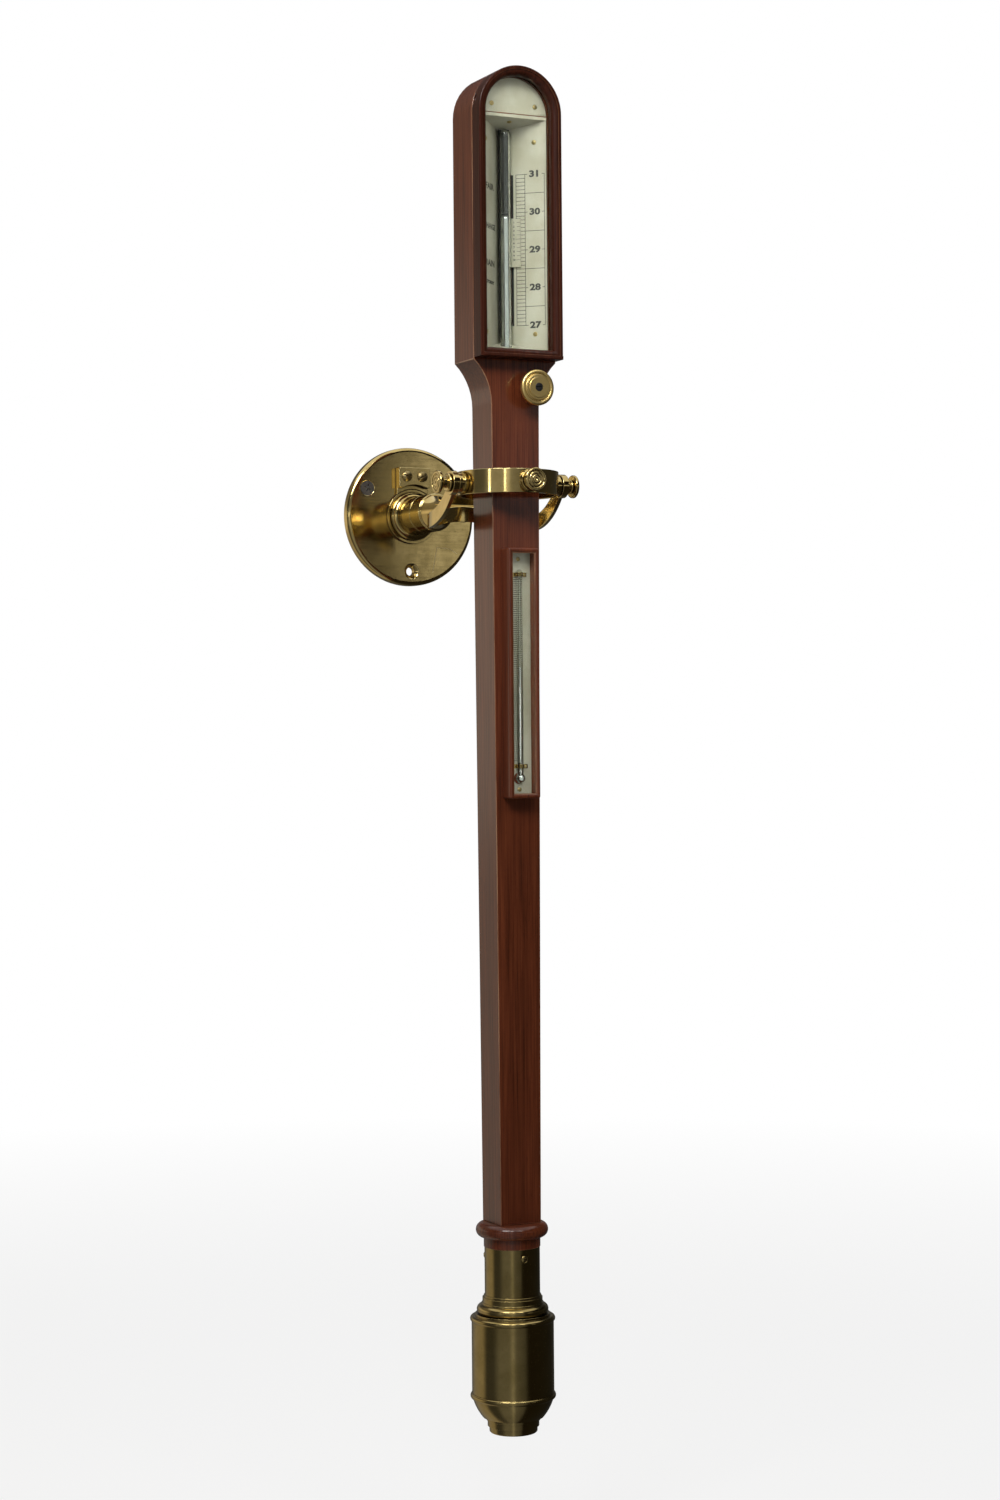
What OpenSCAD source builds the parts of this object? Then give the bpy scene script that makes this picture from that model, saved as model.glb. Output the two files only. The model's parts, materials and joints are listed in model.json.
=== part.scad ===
// Marine stick barometer: a tapering wooden case with a round-topped glazed head and a brass cistern,
// hung in a gimbal from a round wall plate. Sizes are in millimetres.
// The wall is the plane Y = 0, the front faces -Y and +Z is up. The origin is the centre of the
// wall plate's back face.

/* [View] */
// Sub-part to draw

/* [Wall bracket] */
// Diameter of the round wall plate
plate_d = 100; // [92:1:120]
// Thickness of the wall plate
plate_t = 7; // [5:0.5:10]
// Rounding of the wall plate's front edge
plate_edge = 3; // [1:0.5:4.5]
// Pitch circle of the wall screw holes
hole_pcd = 79; // [76:1:84]
// Diameter of a wall screw hole
hole_d = 6; // [4:0.5:7]
// Diameter of the countersink of a wall screw hole
sink_d = 11; // [8:0.5:12]
// Radius of the arm and of its socket
arm_r = 13.5; // [12.5:0.5:15]
// Radius of the ring at the foot of the socket
foot_ring_r = 19.5; // [19:0.5:21]
// Length of the socket in front of the wall plate
socket_len = 27; // [20:1:32]
// Length of the arm's collar in front of the socket
collar_len = 17; // [10:1:22]
// Width of the keeper above the socket
keeper_w = 24.2; // [20:0.2:30]
// Height of the keeper's face
keeper_h = 14.5; // [12:0.5:16]
// Thickness of the keeper
keeper_t = 7; // [5:0.5:9]

/* [Gimbal] */
// Distance of the gimbal centre from the wall
gimbal_out = 166; // [160:1:180]
// Height of the gimbal centre above the wall plate's centre
gimbal_rise = 10; // [6:0.5:14]
// Outer radius of the gimbal ring
ring_r = 34.5; // [33.5:0.5:37]
// Thickness of the gimbal ring's band
ring_band = 3; // [2:0.25:4]
// Height of the gimbal ring
ring_h = 16; // [12:0.5:18]
// Length of the yoke's straight arms
yoke_straight = 30; // [26:1:38]
// Thickness of the yoke's band
yoke_band = 3; // [2.5:0.25:4.5]
// Radius of the yoke's pivot eyes
eye_r = 8; // [7:0.5:10]
// Drop of the yoke's arms between the eye and the bend
yoke_drop = 21; // [15:0.5:24]
// Height of the yoke's band at the bend
yoke_bend_h = 10.5; // [9:0.5:14]
// Height of the yoke's band at its base
yoke_base_h = 11; // [9:0.5:14]
// Radius of a pivot screw's head
screw_head_r = 7.8; // [6:0.2:9]
// Reach of the left pivot screw's face from the gimbal centre
left_reach = 53; // [50:0.5:57]
// Reach of the right pivot screw's face from the gimbal centre
right_reach = 51; // [49:0.5:57]
// Reach of the front and rear pivot screws' faces from the gimbal centre
front_reach = 44; // [43:0.5:48]

/* [Case] */
// Height of the head's top above the wall plate's centre
head_top = 286.4; // [280:0.2:292]
// Height of the head from its shoulder to its top
head_h = 194; // [190:0.5:198]
// Width of the head
head_w = 61; // [60:0.2:64]
// Depth of the case at the head
case_d = 30.4; // [29.6:0.2:33]
// Width of the trunk under the cove
trunk_top_w = 35.5; // [35:0.1:38]
// Width of the trunk at its foot
trunk_foot_w = 30; // [28:0.1:32]
// Depth of the trunk at its foot
trunk_foot_d = 28.4; // [27:0.1:30]
// Height of the coves between trunk and head
cove_h = 30.4; // [26:0.2:34]
// Length of the tapering trunk
trunk_len = 548.5; // [540:0.5:556]
// Distance of the trunk's middle behind the gimbal centre
trunk_back = 2; // [1:0.25:5]

/* [Register] */
// Width of the hollow between the two scale plates at the front
recess_w = 48; // [46:0.5:50]
// Depth of the hollow at its middle
recess_d = 21.3; // [20.5:0.1:22]
// Thickness of the scale plates
scale_t = 2.2; // [1.5:0.1:2.6]
// Drop of the ceiling's front edge below the head's top
ceiling_drop = 32.4; // [31:0.2:36]
// Fall of the ceiling towards the back
ceiling_fall = 6; // [4:0.5:8]
// Height of the floor's front edge above the shoulder
floor_up = 5.6; // [5:0.2:6.4]
// Rise of the floor towards the back
floor_rise = 8.5; // [6:0.5:9]
// Height of the 27 inch mark above the shoulder
mark_up = 26.1; // [25:0.1:27]
// Air pressure that the vernier is set to, in inches of mercury
reading = 29.79; // [29.4:0.01:30]
// Thickness of the name plate
name_t = 1.4; // [1:0.1:2]

/* [Vernier drive] */
// Sideways place of the knob's axis
knob_x = 11; // [10.8:0.05:11.2]
// Drop of the knob's axis below the shoulder
knob_drop = 19.4; // [18.6:0.2:21]
// Diameter of the knob
knob_d = 24; // [20:0.5:26]
// Height of the knob's face over the trunk
knob_h = 14; // [11:0.5:17]
// Module of the rack and pinion teeth
tooth_m = 0.5; // [0.48:0.01:0.52]
// Width of the vernier plate
vernier_w = 8.75; // [8:0.25:12]
// Height of the vernier plate
vernier_h = 32.8; // [31:0.2:33]

/* [Door] */
// Thickness of the door
door_t = 11.3; // [10.5:0.1:13]
// Width of the door frame's face
frame_w = 6.3; // [5.8:0.1:7]
// Thickness of the door glass
door_glass_t = 2; // [1.5:0.1:2.4]
// Height of the hinge leaves
leaf_h = 22; // [18:0.5:28]

/* [Thermometer] */
// Width of the thermometer box
therm_w = 22.8; // [21.6:0.2:24]
// Height of the thermometer box
therm_h = 167; // [160:0.5:172]
// Depth of the thermometer box
therm_d = 11.6; // [10.8:0.1:13]
// Height of the thermometer box's middle
therm_z = -117.5; // [-122:0.5:-112]

/* [Cistern] */
// Height of the wooden collar under the trunk
collar_h = 16.5; // [15:0.5:20]
// Outer radius of the wooden collar
collar_r = 24.4; // [23:0.2:26]
// Radius of the brass neck
neck_r = 18.7; // [18.2:0.1:19.2]
// Height of the brass neck
neck_h = 33; // [29:0.5:37]
// Radius of the cistern's barrel
barrel_r = 27.75; // [27.25:0.25:29.5]
// Height of the barrel between its beads
barrel_h = 48; // [46:0.5:50]
// Depth of the mercury's surface below the barrel's upper bead, 27 inches under the 27 inch mark
pool_down = 15.8; // [13:0.1:19]
// Outer radius of the glass tube
tube_r = 4; // [3.7:0.1:4.1]
// Radius of the glass tube's bore
bore_r = 2.75; // [2.2:0.05:3]

/* [Clearances] */
// Radial running fit of a pivot in its bearing
run_fit = 0.05; // [0.03:0.01:0.1]
// Gap between pieces that move past each other
move_gap = 0.35; // [0.3:0.05:0.5]
// Radial gap of a fixed pin or tube in its hole
seat_gap = 0.02; // [0.01:0.01:0.05]

/* [Hidden] */
$fn = 96;
inch = 25.4;
// Bracket
hole_angles = [30, 150, 270];
foot_ring_h = 2.5;
bead_r = 1.6;
bead_mid_r = foot_ring_r - 3.6;
socket_cove = 3;
socket_floor = 5;
spigot_r = arm_r - 4.5;
bolt_r = 3;
bolt_head_r = 5.6;
bolt_head_h = 2.6;
keeper_low = foot_ring_r + 1;
keeper_back_t = foot_ring_h + 0.2;
keeper_screw_x = keeper_w / 4;
keeper_screw_z = keeper_low + keeper_h * 0.55;
// Gimbal
pivot_r = 2;
shank_r = 2.5;
side_boss = 3.7;
side_boss_r = 7;
face_boss = 2;
yoke_half = ring_r + side_boss + move_gap;
yoke_depth = yoke_straight + yoke_half + yoke_band;
eye_t = yoke_band + 1.5;
base_low = 3;
arm_end = plate_t + socket_len + collar_len;
neck_len = gimbal_out - yoke_depth - arm_end;
neck_waist = 7.5;
neck_big = arm_r - 1.3;
neck_mid = neck_len * 0.57;
neck_curve = (pow(neck_big - neck_waist, 2) + pow(neck_mid, 2)) / (2 * (neck_big - neck_waist));
// Case
trunk_out = gimbal_out - trunk_back;
shoulder_z = head_top - head_h;
spring_z = head_top - head_w / 2;
cove_z = shoulder_z - cove_h;
foot_z = cove_z - trunk_len;
cove_w = (head_w - trunk_top_w) / 2;
cove_lip = 1;
cove_r = (pow(cove_w, 2) + pow(cove_h - cove_lip, 2)) / (2 * cove_w);
half_d = case_d / 2;
taper = atan((case_d - trunk_foot_d) / 2 / trunk_len);
tenon_r = 11;
tenon_h = 12;
tube_y = -1.5;
channel_r = tube_r + 1.2;
board_t = 4;
board_w = 20;
board_top = head_top - ceiling_drop - 17.6;
board_foot = foot_z + 14;
board_in = half_d - board_t;
works_w = 2 * (knob_x + 5.2);
bush_r = 4.5;
bush_len = 6;
bush_hole = 5;
front_gap = half_depth(gimbal_rise) - trunk_back;
rear_gap = half_depth(gimbal_rise) + trunk_back;
// Register
plate_turn = atan2(recess_d, recess_w / 2);
apex_y = recess_d - half_d;
ceiling_z = head_top - ceiling_drop;
floor_z = shoulder_z + floor_up;
low_mark_z = shoulder_z + mark_up;
high_mark_z = low_mark_z + 4 * inch;
index_z = low_mark_z + (reading - 27) * inch;
slot_near = 5.6;
slot_far = 7.9;
name_z = ceiling_z + scale_t + 0.6;
name_r = head_w / 2 - 3.6;
tube_top = ceiling_z - 5;
// Vernier drive
knob_z = shoulder_z - knob_drop;
teeth = 16;
pitch_r = tooth_m * teeth / 2;
tooth_pitch = PI * tooth_m;
press = 25;
backlash = 0.08;
rack_x = knob_x - pitch_r;
rack_back = 4.7;
rack_y0 = 5.6;
rack_y1 = 8.8;
rack_up = 30;
rack_down = 50;
rack_low = knob_z - rack_up - 6;
stem_low = index_z - 20.5;
stem_high = index_z - 8.5;
link_x = rack_x - 1.4;
link_y = apex_y + (scale_t + move_gap) / cos(plate_turn) - link_x * tan(plate_turn);
rack_teeth = floor((rack_up + rack_down + 12) / tooth_pitch);
arbor_r = 2;
works_t = 2;
works_h = 22;
works_y = rack_y1 + move_gap;
bush_flange_h = 1;
bush_flange_r = 6.5;
// Door
door_gap = 0.3;
door_y = -half_d - door_gap;
rebate_w = 2;
rebate_d = door_glass_t + 2.2;
ovolo_r = frame_w - 2.7;
hinge_x = head_w / 2 + 1.8;
hinge_y = -half_d - door_gap / 2;
knuckle_r = 1.5;
hinge_pin_r = 0.7;
leaf_t = 1;
leaf_in = head_w / 2 - 2.7;
hinge_z = [shoulder_z + 36, spring_z - 28];
// Thermometer
therm_bar = 3.5;
therm_lip = 2.6;
therm_plate_t = 1.8;
therm_tube_r = 1.9;
therm_tube_y = -therm_plate_t - therm_tube_r - 0.1;
therm_top = therm_h / 2 - 14;
therm_bulb_z = -therm_h / 2 + 13.5;
therm_bulb_r = 3.2;
clip_z = [therm_h / 2 - 17.5, -therm_h / 2 + 21.5];
// Cistern
collar_bead = 5;
spigot_in = 1.5;
spigot_z = foot_z - collar_h - 17;
collar_z = foot_z - collar_h;
neck_z = collar_z - neck_h;
bead_z = neck_z - 15.5;
barrel_foot = bead_z - 2 - barrel_h;
shelf_z = bead_z - 4.2;
pool_z = bead_z - pool_down;
cup_top = shelf_z - 0.2;
cup_foot = barrel_foot + 2.5;
leather_t = 1.5;
pad_t = 5;
cup_r = barrel_r - 1.95;
pool_r = cup_r - 5.8;
tube_foot = pool_z - 18;
bowl_a = [barrel_r - 0.65, barrel_foot - 4.5];
bowl_b = [barrel_r - 3.15, barrel_foot - 10.5];
bowl_c = [barrel_r - 7.25, barrel_foot - 16.5];
bowl_mid = centre3(bowl_a, bowl_b, bowl_c);
bowl_r = norm(bowl_a - bowl_mid);
base_foot = barrel_foot - 22.5;
cap_foot = base_foot - 4.3;
cap_r = barrel_r - 11.5;
neck_seat = 0.3;
web_top = barrel_foot - 8.2;
web_foot = barrel_foot - 14.5;
// Yoke's side curves
low_a = [0, gimbal_rise - eye_r];
low_b = [yoke_straight, gimbal_rise - yoke_drop - yoke_bend_h / 2];
low_c = [yoke_depth, -base_low - yoke_base_h / 2];
low_mid = centre3(low_a, low_b, low_c);
up_a = [0, gimbal_rise + eye_r];
up_b = [yoke_straight, gimbal_rise - yoke_drop + yoke_bend_h / 2];
up_c = [yoke_depth, yoke_base_h / 2 - base_low];
up_mid = centre3(up_a, up_b, up_c);

// Half width and half depth of the trunk at a height
function half_width(z) =
  (trunk_foot_w + (trunk_top_w - trunk_foot_w) * (z - foot_z) / trunk_len) / 2;
function half_depth(z) =
  z > cove_z ? case_d / 2
    : (trunk_foot_d + (case_d - trunk_foot_d) * (z - foot_z) / trunk_len) / 2;
// Centre of the circle through three points
function turn3(a, b, c) = 2 * (a.x * (b.y - c.y) + b.x * (c.y - a.y) + c.x * (a.y - b.y));
function centre3(a, b, c) = [
  ((a * a) * (b.y - c.y) + (b * b) * (c.y - a.y) + (c * c) * (a.y - b.y)) / turn3(a, b, c),
  ((a * a) * (c.x - b.x) + (b * b) * (a.x - c.x) + (c * c) * (b.x - a.x)) / turn3(a, b, c)];
// Involute tooth: half angle, in degrees, at a radius of the pinion
function invol(a) = tan(a) * 180 / PI - a;
function flank(r) =
  (tooth_pitch / 2 - backlash / 2) / (2 * pitch_r) * 180 / PI + invol(press)
    - invol(acos(min(1, pitch_r * cos(press) / r)));
function polar(r, a) = [r * cos(a), r * sin(a)];

// Builds a turned or cut shape outwards from the wall: its z runs to the front, its y runs up
module outward(d = 0) {
  translate([0, -d, 0])
    rotate([90, 0, 0])
      children();
}

// Moves a piece of the case from the trunk's own middle to its place in front of the wall
module hung() {
  translate([0, -trunk_out, 0])
    children();
}

// Moves a piece from the gimbal centre to its place
module pivoted() {
  translate([0, -gimbal_out, gimbal_rise])
    children();
}

// Lays a piece on the trunk's sloping front at a height
module on_trunk(z) {
  translate([0, -half_depth(z), z])
    rotate([taper, 0, 0])
      children();
}

// Frame of the right scale plate: x runs from the apex to the front edge, y runs into the wood
module right_face() {
  translate([0, apex_y, 0])
    rotate([0, 0, -plate_turn])
      children();
}

// Extrudes a side view, drawn as depth and height, across the width
module across(w) {
  rotate([90, 0, 90])
    translate([0, 0, -w / 2])
      linear_extrude(w)
        children();
}

// Extrudes a front view from a depth to the back
module front_on(y, t) {
  translate([0, y + t, 0])
    rotate([90, 0, 0])
      linear_extrude(t)
        children();
}

// Slotted screw head and shank that points down its own -z
module slotted(head_r, head_h, r, len) {
  difference() {
    intersection() {
      translate([0, 0, head_h - head_r * 1.6])
        sphere(head_r * 1.6);
      cylinder(h = head_h, r = head_r);
    }
    translate([-head_r - 1, -head_r * 0.11, head_h * 0.55])
      cube([2 * head_r + 2, head_r * 0.22, head_h]);
  }
  translate([0, 0, -len])
    cylinder(h = len, r = r);
}

// Countersunk screw with its slotted face at z = 0
module sunk_screw(head_r, r, len) {
  difference() {
    translate([0, 0, r - head_r])
      cylinder(h = head_r - r, r1 = r, r2 = head_r);
    translate([-head_r - 1, -head_r * 0.11, -0.5])
      cube([2 * head_r + 2, head_r * 0.22, 1]);
  }
  translate([0, 0, -len])
    cylinder(h = len + r - head_r + 0.1, r = r);
}

// Room for a countersunk screw
module sunk_room(head_r, r, len) {
  translate([0, 0, r - head_r])
    cylinder(h = head_r - r, r1 = r + seat_gap, r2 = head_r + seat_gap);
  translate([0, 0, -len - 0.2])
    cylinder(h = len + 0.2 + r - head_r + 0.1, r = r + seat_gap);
  translate([0, 0, -0.05])
    cylinder(h = 1, r = head_r + seat_gap);
}

// Round wall plate with three countersunk holes
module wall_plate() {
  color("darkgoldenrod")
    outward()
      difference() {
        rotate_extrude()
          plate_profile();
        for (a = hole_angles)
          rotate([0, 0, a])
            translate([hole_pcd / 2, 0, 0])
              wall_hole();
        bolt_room();
        for (s = [-1, 1])
          translate([s * keeper_screw_x, keeper_screw_z, plate_t - 5.2])
            cylinder(h = 6, r = 1.6 + seat_gap);
      }
}

module plate_profile() {
  square([plate_d / 2 - plate_edge, plate_t]);
  square([plate_d / 2, plate_t - plate_edge]);
  translate([plate_d / 2 - plate_edge, plate_t - plate_edge])
    circle(plate_edge);
}

module wall_hole() {
  translate([0, 0, -1])
    cylinder(h = plate_t + 2, d = hole_d);
  translate([0, 0, plate_t - (sink_d - hole_d) / 2])
    cylinder(h = (sink_d - hole_d) / 2 + 0.001, d1 = hole_d, d2 = sink_d + 0.002);
}

module bolt_room() {
  translate([0, 0, -0.5])
    cylinder(h = 0.7, r = bolt_head_r + seat_gap);
  translate([0, 0, 0.2])
    cylinder(h = bolt_head_h, r1 = bolt_head_r + seat_gap, r2 = bolt_r + seat_gap);
  cylinder(h = plate_t + socket_floor, r = bolt_r + seat_gap);
}

// Turned socket that holds the arm
module arm_socket() {
  color("goldenrod")
    outward(plate_t)
      difference() {
        rotate_extrude()
          socket_profile();
        translate([0, 0, -1])
          cylinder(h = socket_floor + 2, r = bolt_r + seat_gap);
      }
}

module socket_profile() {
  difference() {
    union() {
      square([foot_ring_r, foot_ring_h]);
      square([bead_mid_r, foot_ring_h + 2 * bead_r]);
      translate([bead_mid_r, foot_ring_h + bead_r])
        circle(bead_r);
      square([arm_r + socket_cove, foot_ring_h + 2 * bead_r + socket_cove]);
      square([arm_r, socket_len - 0.5]);
      square([arm_r - 0.5, socket_len]);
    }
    translate([arm_r + socket_cove, foot_ring_h + 2 * bead_r + socket_cove])
      circle(socket_cove);
    translate([0, socket_floor])
      square([spigot_r + seat_gap, socket_len]);
  }
}

// Bolt from behind the wall plate into the socket's floor
module socket_bolt() {
  color("dimgray")
    outward(0.2) {
      difference() {
        cylinder(h = bolt_head_h, r1 = bolt_head_r, r2 = bolt_r);
        translate([-bolt_head_r - 1, -0.6, -1])
          cube([2 * bolt_head_r + 2, 1.2, 2]);
      }
      translate([0, 0, bolt_head_h])
        cylinder(h = plate_t + socket_floor - bolt_head_h - 0.6, r = bolt_r);
    }
}

// Block above the socket that hugs the socket's foot ring
module keeper() {
  color("goldenrod")
    outward(plate_t)
      difference() {
        union() {
          translate([-keeper_w / 2, keeper_low, 0])
            cube([keeper_w, keeper_h, keeper_t]);
          translate([-keeper_w / 2, keeper_low - 5, 0])
            cube([keeper_w, 6, keeper_back_t]);
        }
        translate([0, 0, -1])
          cylinder(h = keeper_back_t + 1, r = foot_ring_r + 0.2);
        translate([0, 0, keeper_back_t])
          cylinder(h = keeper_t, r = foot_ring_r + 3);
        for (s = [-1, 1])
          translate([s * keeper_screw_x, keeper_screw_z, -1])
            cylinder(h = keeper_t + 2, r = 1.6 + seat_gap);
      }
}

module keeper_screws() {
  color("khaki")
    outward(plate_t + keeper_t)
      for (s = [-1, 1])
        translate([s * keeper_screw_x, keeper_screw_z, 0])
          rotate([0, 0, s * 25])
            slotted(3.7, 2.2, 1.6, keeper_t + 5);
}

// Forked arm: a band bent to a horseshoe, with pivot eyes, a waisted neck, a collar and a spigot
module yoke() {
  color("goldenrod") {
    difference() {
      union() {
        translate([0, -gimbal_out, 0])
          intersection() {
            translate([0, 0, -40])
              linear_extrude(80)
                yoke_plan();
            across(200)
              yoke_side();
          }
        pivoted()
          for (s = [-1, 1])
            rotate([0, s * 90, 0])
              translate([0, 0, yoke_half])
                cylinder(h = eye_t, r = eye_r);
      }
      pivoted()
        rotate([0, 90, 0])
          translate([0, 0, -80])
            cylinder(h = 160, r = shank_r + seat_gap);
    }
    outward(arm_end)
      rotate_extrude()
        neck_profile();
    outward(plate_t + socket_floor + 0.3)
      cylinder(h = socket_len - socket_floor, r = spigot_r);
    outward(plate_t + socket_len)
      rotate_extrude()
        collar_profile();
  }
}

module yoke_plan() {
  difference() {
    yoke_outline(yoke_half + yoke_band);
    yoke_outline(yoke_half);
  }
}

module yoke_outline(half) {
  translate([-half, -eye_r - 1])
    square([2 * half, yoke_straight + eye_r + 1]);
  translate([0, yoke_straight])
    circle(half);
}

module yoke_side() {
  difference() {
    intersection() {
      translate([0, -60])
        square([yoke_depth + 1, 120]);
      translate(low_mid)
        circle(norm(low_a - low_mid));
    }
    translate(up_mid)
      circle(norm(up_a - up_mid));
  }
  translate([0, gimbal_rise])
    circle(eye_r);
}

module neck_profile() {
  difference() {
    square([neck_big, neck_len + yoke_band / 2]);
    translate([neck_waist + neck_curve, neck_mid])
      circle(neck_curve);
  }
}

module collar_profile() {
  square([arm_r - 0.5, collar_len]);
  translate([0, 0.5])
    square([arm_r, collar_len - 1.8]);
}

// Thumb screw on its own +z: a pivot, a threaded shank, a neck with two beads and a turned head
module pivot_screw(tip, shank, seat, reach) {
  rim = 0.9;
  head_t = 2.6;
  rotate_extrude()
    difference() {
      union() {
        translate([0, tip])
          square([pivot_r, shank - tip]);
        translate([0, shank])
          square([shank_r, seat - shank]);
        translate([0, seat])
          square([3.8, reach - seat - 1]);
        translate([0, seat])
          square([5, 2.2]);
        translate([5, seat + 1.1])
          circle(1.1);
        translate([3.8, reach - head_t - 1.1])
          circle(0.9);
        translate([0, reach - head_t])
          square([screw_head_r - rim, head_t]);
        translate([0, reach - head_t + rim])
          square([screw_head_r, head_t - 2 * rim]);
        for (z = [reach - head_t + rim, reach - rim])
          translate([screw_head_r - rim, z])
            circle(rim);
      }
      translate([screw_head_r * 0.68, reach + 0.3])
        circle(0.8);
      translate([screw_head_r * 0.4, reach + 0.2])
        circle(0.5);
      translate([0, reach + 0.7])
        circle(1.2);
    }
}

module left_pivot_screw() {
  color("goldenrod")
    pivoted()
      rotate([0, -90, 0])
        pivot_screw(ring_r - ring_band + 0.5, yoke_half, yoke_half + eye_t, left_reach);
}

module right_pivot_screw() {
  color("goldenrod")
    pivoted()
      rotate([0, 90, 0])
        pivot_screw(ring_r - ring_band + 0.5, yoke_half, yoke_half + eye_t, right_reach);
}

// Gimbal ring with bosses for its four pivots
module gimbal_ring() {
  color("goldenrod")
    pivoted()
      difference() {
        union() {
          translate([0, 0, -ring_h / 2])
            cylinder(h = ring_h, r = ring_r);
          for (a = [0, 180])
            rotate([0, 90, a])
              cylinder(h = ring_r + side_boss, r = side_boss_r);
          for (a = [90, 270])
            rotate([0, 90, a])
              cylinder(h = ring_r + face_boss, r = side_boss_r);
        }
        translate([0, 0, -ring_h])
          cylinder(h = 2 * ring_h, r = ring_r - ring_band);
        rotate([0, 90, 0])
          translate([0, 0, -60])
            cylinder(h = 120, r = pivot_r + run_fit);
        rotate([90, 0, 0])
          translate([0, 0, -60])
            cylinder(h = 120, r = shank_r + seat_gap);
      }
}

module front_pivot_screw() {
  color("goldenrod")
    pivoted()
      rotate([90, 0, 0])
        pivot_screw(front_gap - bush_hole + 0.4, front_gap + move_gap, ring_r + face_boss, front_reach);
}

module rear_pivot_screw() {
  color("goldenrod")
    pivoted()
      rotate([-90, 0, 0])
        pivot_screw(rear_gap - bush_hole + 0.4, rear_gap + move_gap, ring_r + face_boss, front_reach);
}

// Outline of the head, drawn as width and height
module head_outline(inset) {
  half = head_w / 2 - inset;
  translate([-half, shoulder_z + inset])
    square([2 * half, spring_z - shoulder_z - inset]);
  translate([0, spring_z])
    circle(half);
}

module case_front() {
  polygon([
    [-trunk_foot_w / 2, foot_z],
    [trunk_foot_w / 2, foot_z],
    [trunk_top_w / 2, cove_z],
    [trunk_top_w / 2, shoulder_z + 5],
    [-trunk_top_w / 2, shoulder_z + 5],
    [-trunk_top_w / 2, cove_z]]);
  difference() {
    translate([-head_w / 2, cove_z])
      square([head_w, cove_h]);
    for (s = [-1, 1])
      translate([s * (trunk_top_w / 2 + cove_r), cove_z])
        circle(cove_r);
  }
  head_outline(0);
}

module case_side() {
  polygon([
    [-trunk_foot_d / 2, foot_z],
    [trunk_foot_d / 2, foot_z],
    [half_d, cove_z],
    [half_d, head_top + 1],
    [-half_d, head_top + 1],
    [-half_d, cove_z]]);
}

module case_solid() {
  intersection() {
    front_on(-half_d - 1, case_d + 2)
      case_front();
    across(head_w + 10)
      case_side();
  }
}

// Plan of the hollow between the scale plates, grown by a plate's thickness
module vee(grow) {
  deep = apex_y + grow / cos(plate_turn);
  polygon([
    [-(deep + half_d + 1) / tan(plate_turn), -half_d - 1],
    [(deep + half_d + 1) / tan(plate_turn), -half_d - 1],
    [0, deep]]);
}

// Side view of the hollow, grown by a plate's thickness
module hollow_side(grow) {
  fall = ceiling_fall / recess_d;
  rise = floor_rise / recess_d;
  polygon([
    [-half_d - 1, floor_z - rise - grow],
    [half_d, floor_z + rise * case_d - grow],
    [half_d, ceiling_z - fall * case_d + grow],
    [-half_d - 1, ceiling_z + fall + grow]]);
}

module hollow(wide, tall) {
  intersection() {
    translate([0, 0, shoulder_z - 20])
      linear_extrude(head_h)
        vee(wide);
    across(head_w)
      hollow_side(tall);
  }
}

// Cuts off what stands in front of the case's front plane
module behind_front() {
  intersection() {
    children();
    translate([-head_w / 2, -half_d, shoulder_z - 20])
      cube([head_w, case_d, head_h + 20]);
  }
}

// Wooden case: trunk, coves and head from one piece
module case() {
  color("saddlebrown")
    hung() {
      difference() {
        case_solid();
        hollow(scale_t, scale_t);
        name_room();
        translate([0, tube_y, foot_z - 1])
          cylinder(h = floor_z + floor_rise - foot_z + 1, r = channel_r);
        translate([-channel_r, tube_y, board_foot + 4])
          cube([2 * channel_r, half_d - tube_y, floor_z - board_foot - 12]);
        board_room();
        board_screw_places()
          sunk_room(2.2, 1.1, 10);
        works_room();
        bush_room();
        hinge_room();
        plate_screw_places()
          screw_hole(0.9, 6);
        works_screw_places()
          screw_hole(0.9, 6);
        for (z = [therm_h / 2 - 7, -therm_h / 2 + 6])
          on_trunk(therm_z)
            translate([0, -therm_plate_t, z])
              rotate([90, 0, 0])
                screw_hole(0.9, 5);
      }
      translate([0, 0, foot_z - tenon_h])
        difference() {
          cylinder(h = tenon_h, r = tenon_r);
          translate([0, tube_y, -1])
            cylinder(h = tenon_h + 2, r = channel_r);
        }
    }
}

module screw_hole(r, len) {
  translate([0, 0, -len - 0.2])
    cylinder(h = len + 0.7, r = r + seat_gap);
}

// Rebate for the back board, with its wider stretch over the works
module board_room() {
  translate([-board_w / 2, board_in, board_foot])
    cube([board_w, board_t + 5, board_top - board_foot]);
  translate([-works_w / 2, board_in, knob_z - works_h / 2 - 2])
    cube([works_w, board_t + 5, works_h + 4]);
}

module board_screw_places() {
  for (z = [foot_z + 40, foot_z + 160, foot_z + 280, foot_z + 400], s = [-1, 1])
    translate([s * 7.6, half_depth(z), z])
      rotate([-90, 0, 0])
        children();
  left = [for (z = [cove_z - 22, shoulder_z + 60, board_top - 5]) [-7.6, z]];
  for (p = concat(left, [[7.6, board_top - 5]]))
    translate([p.x, half_depth(p.y), p.y])
      rotate([-90, 0, 0])
        children();
}

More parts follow.
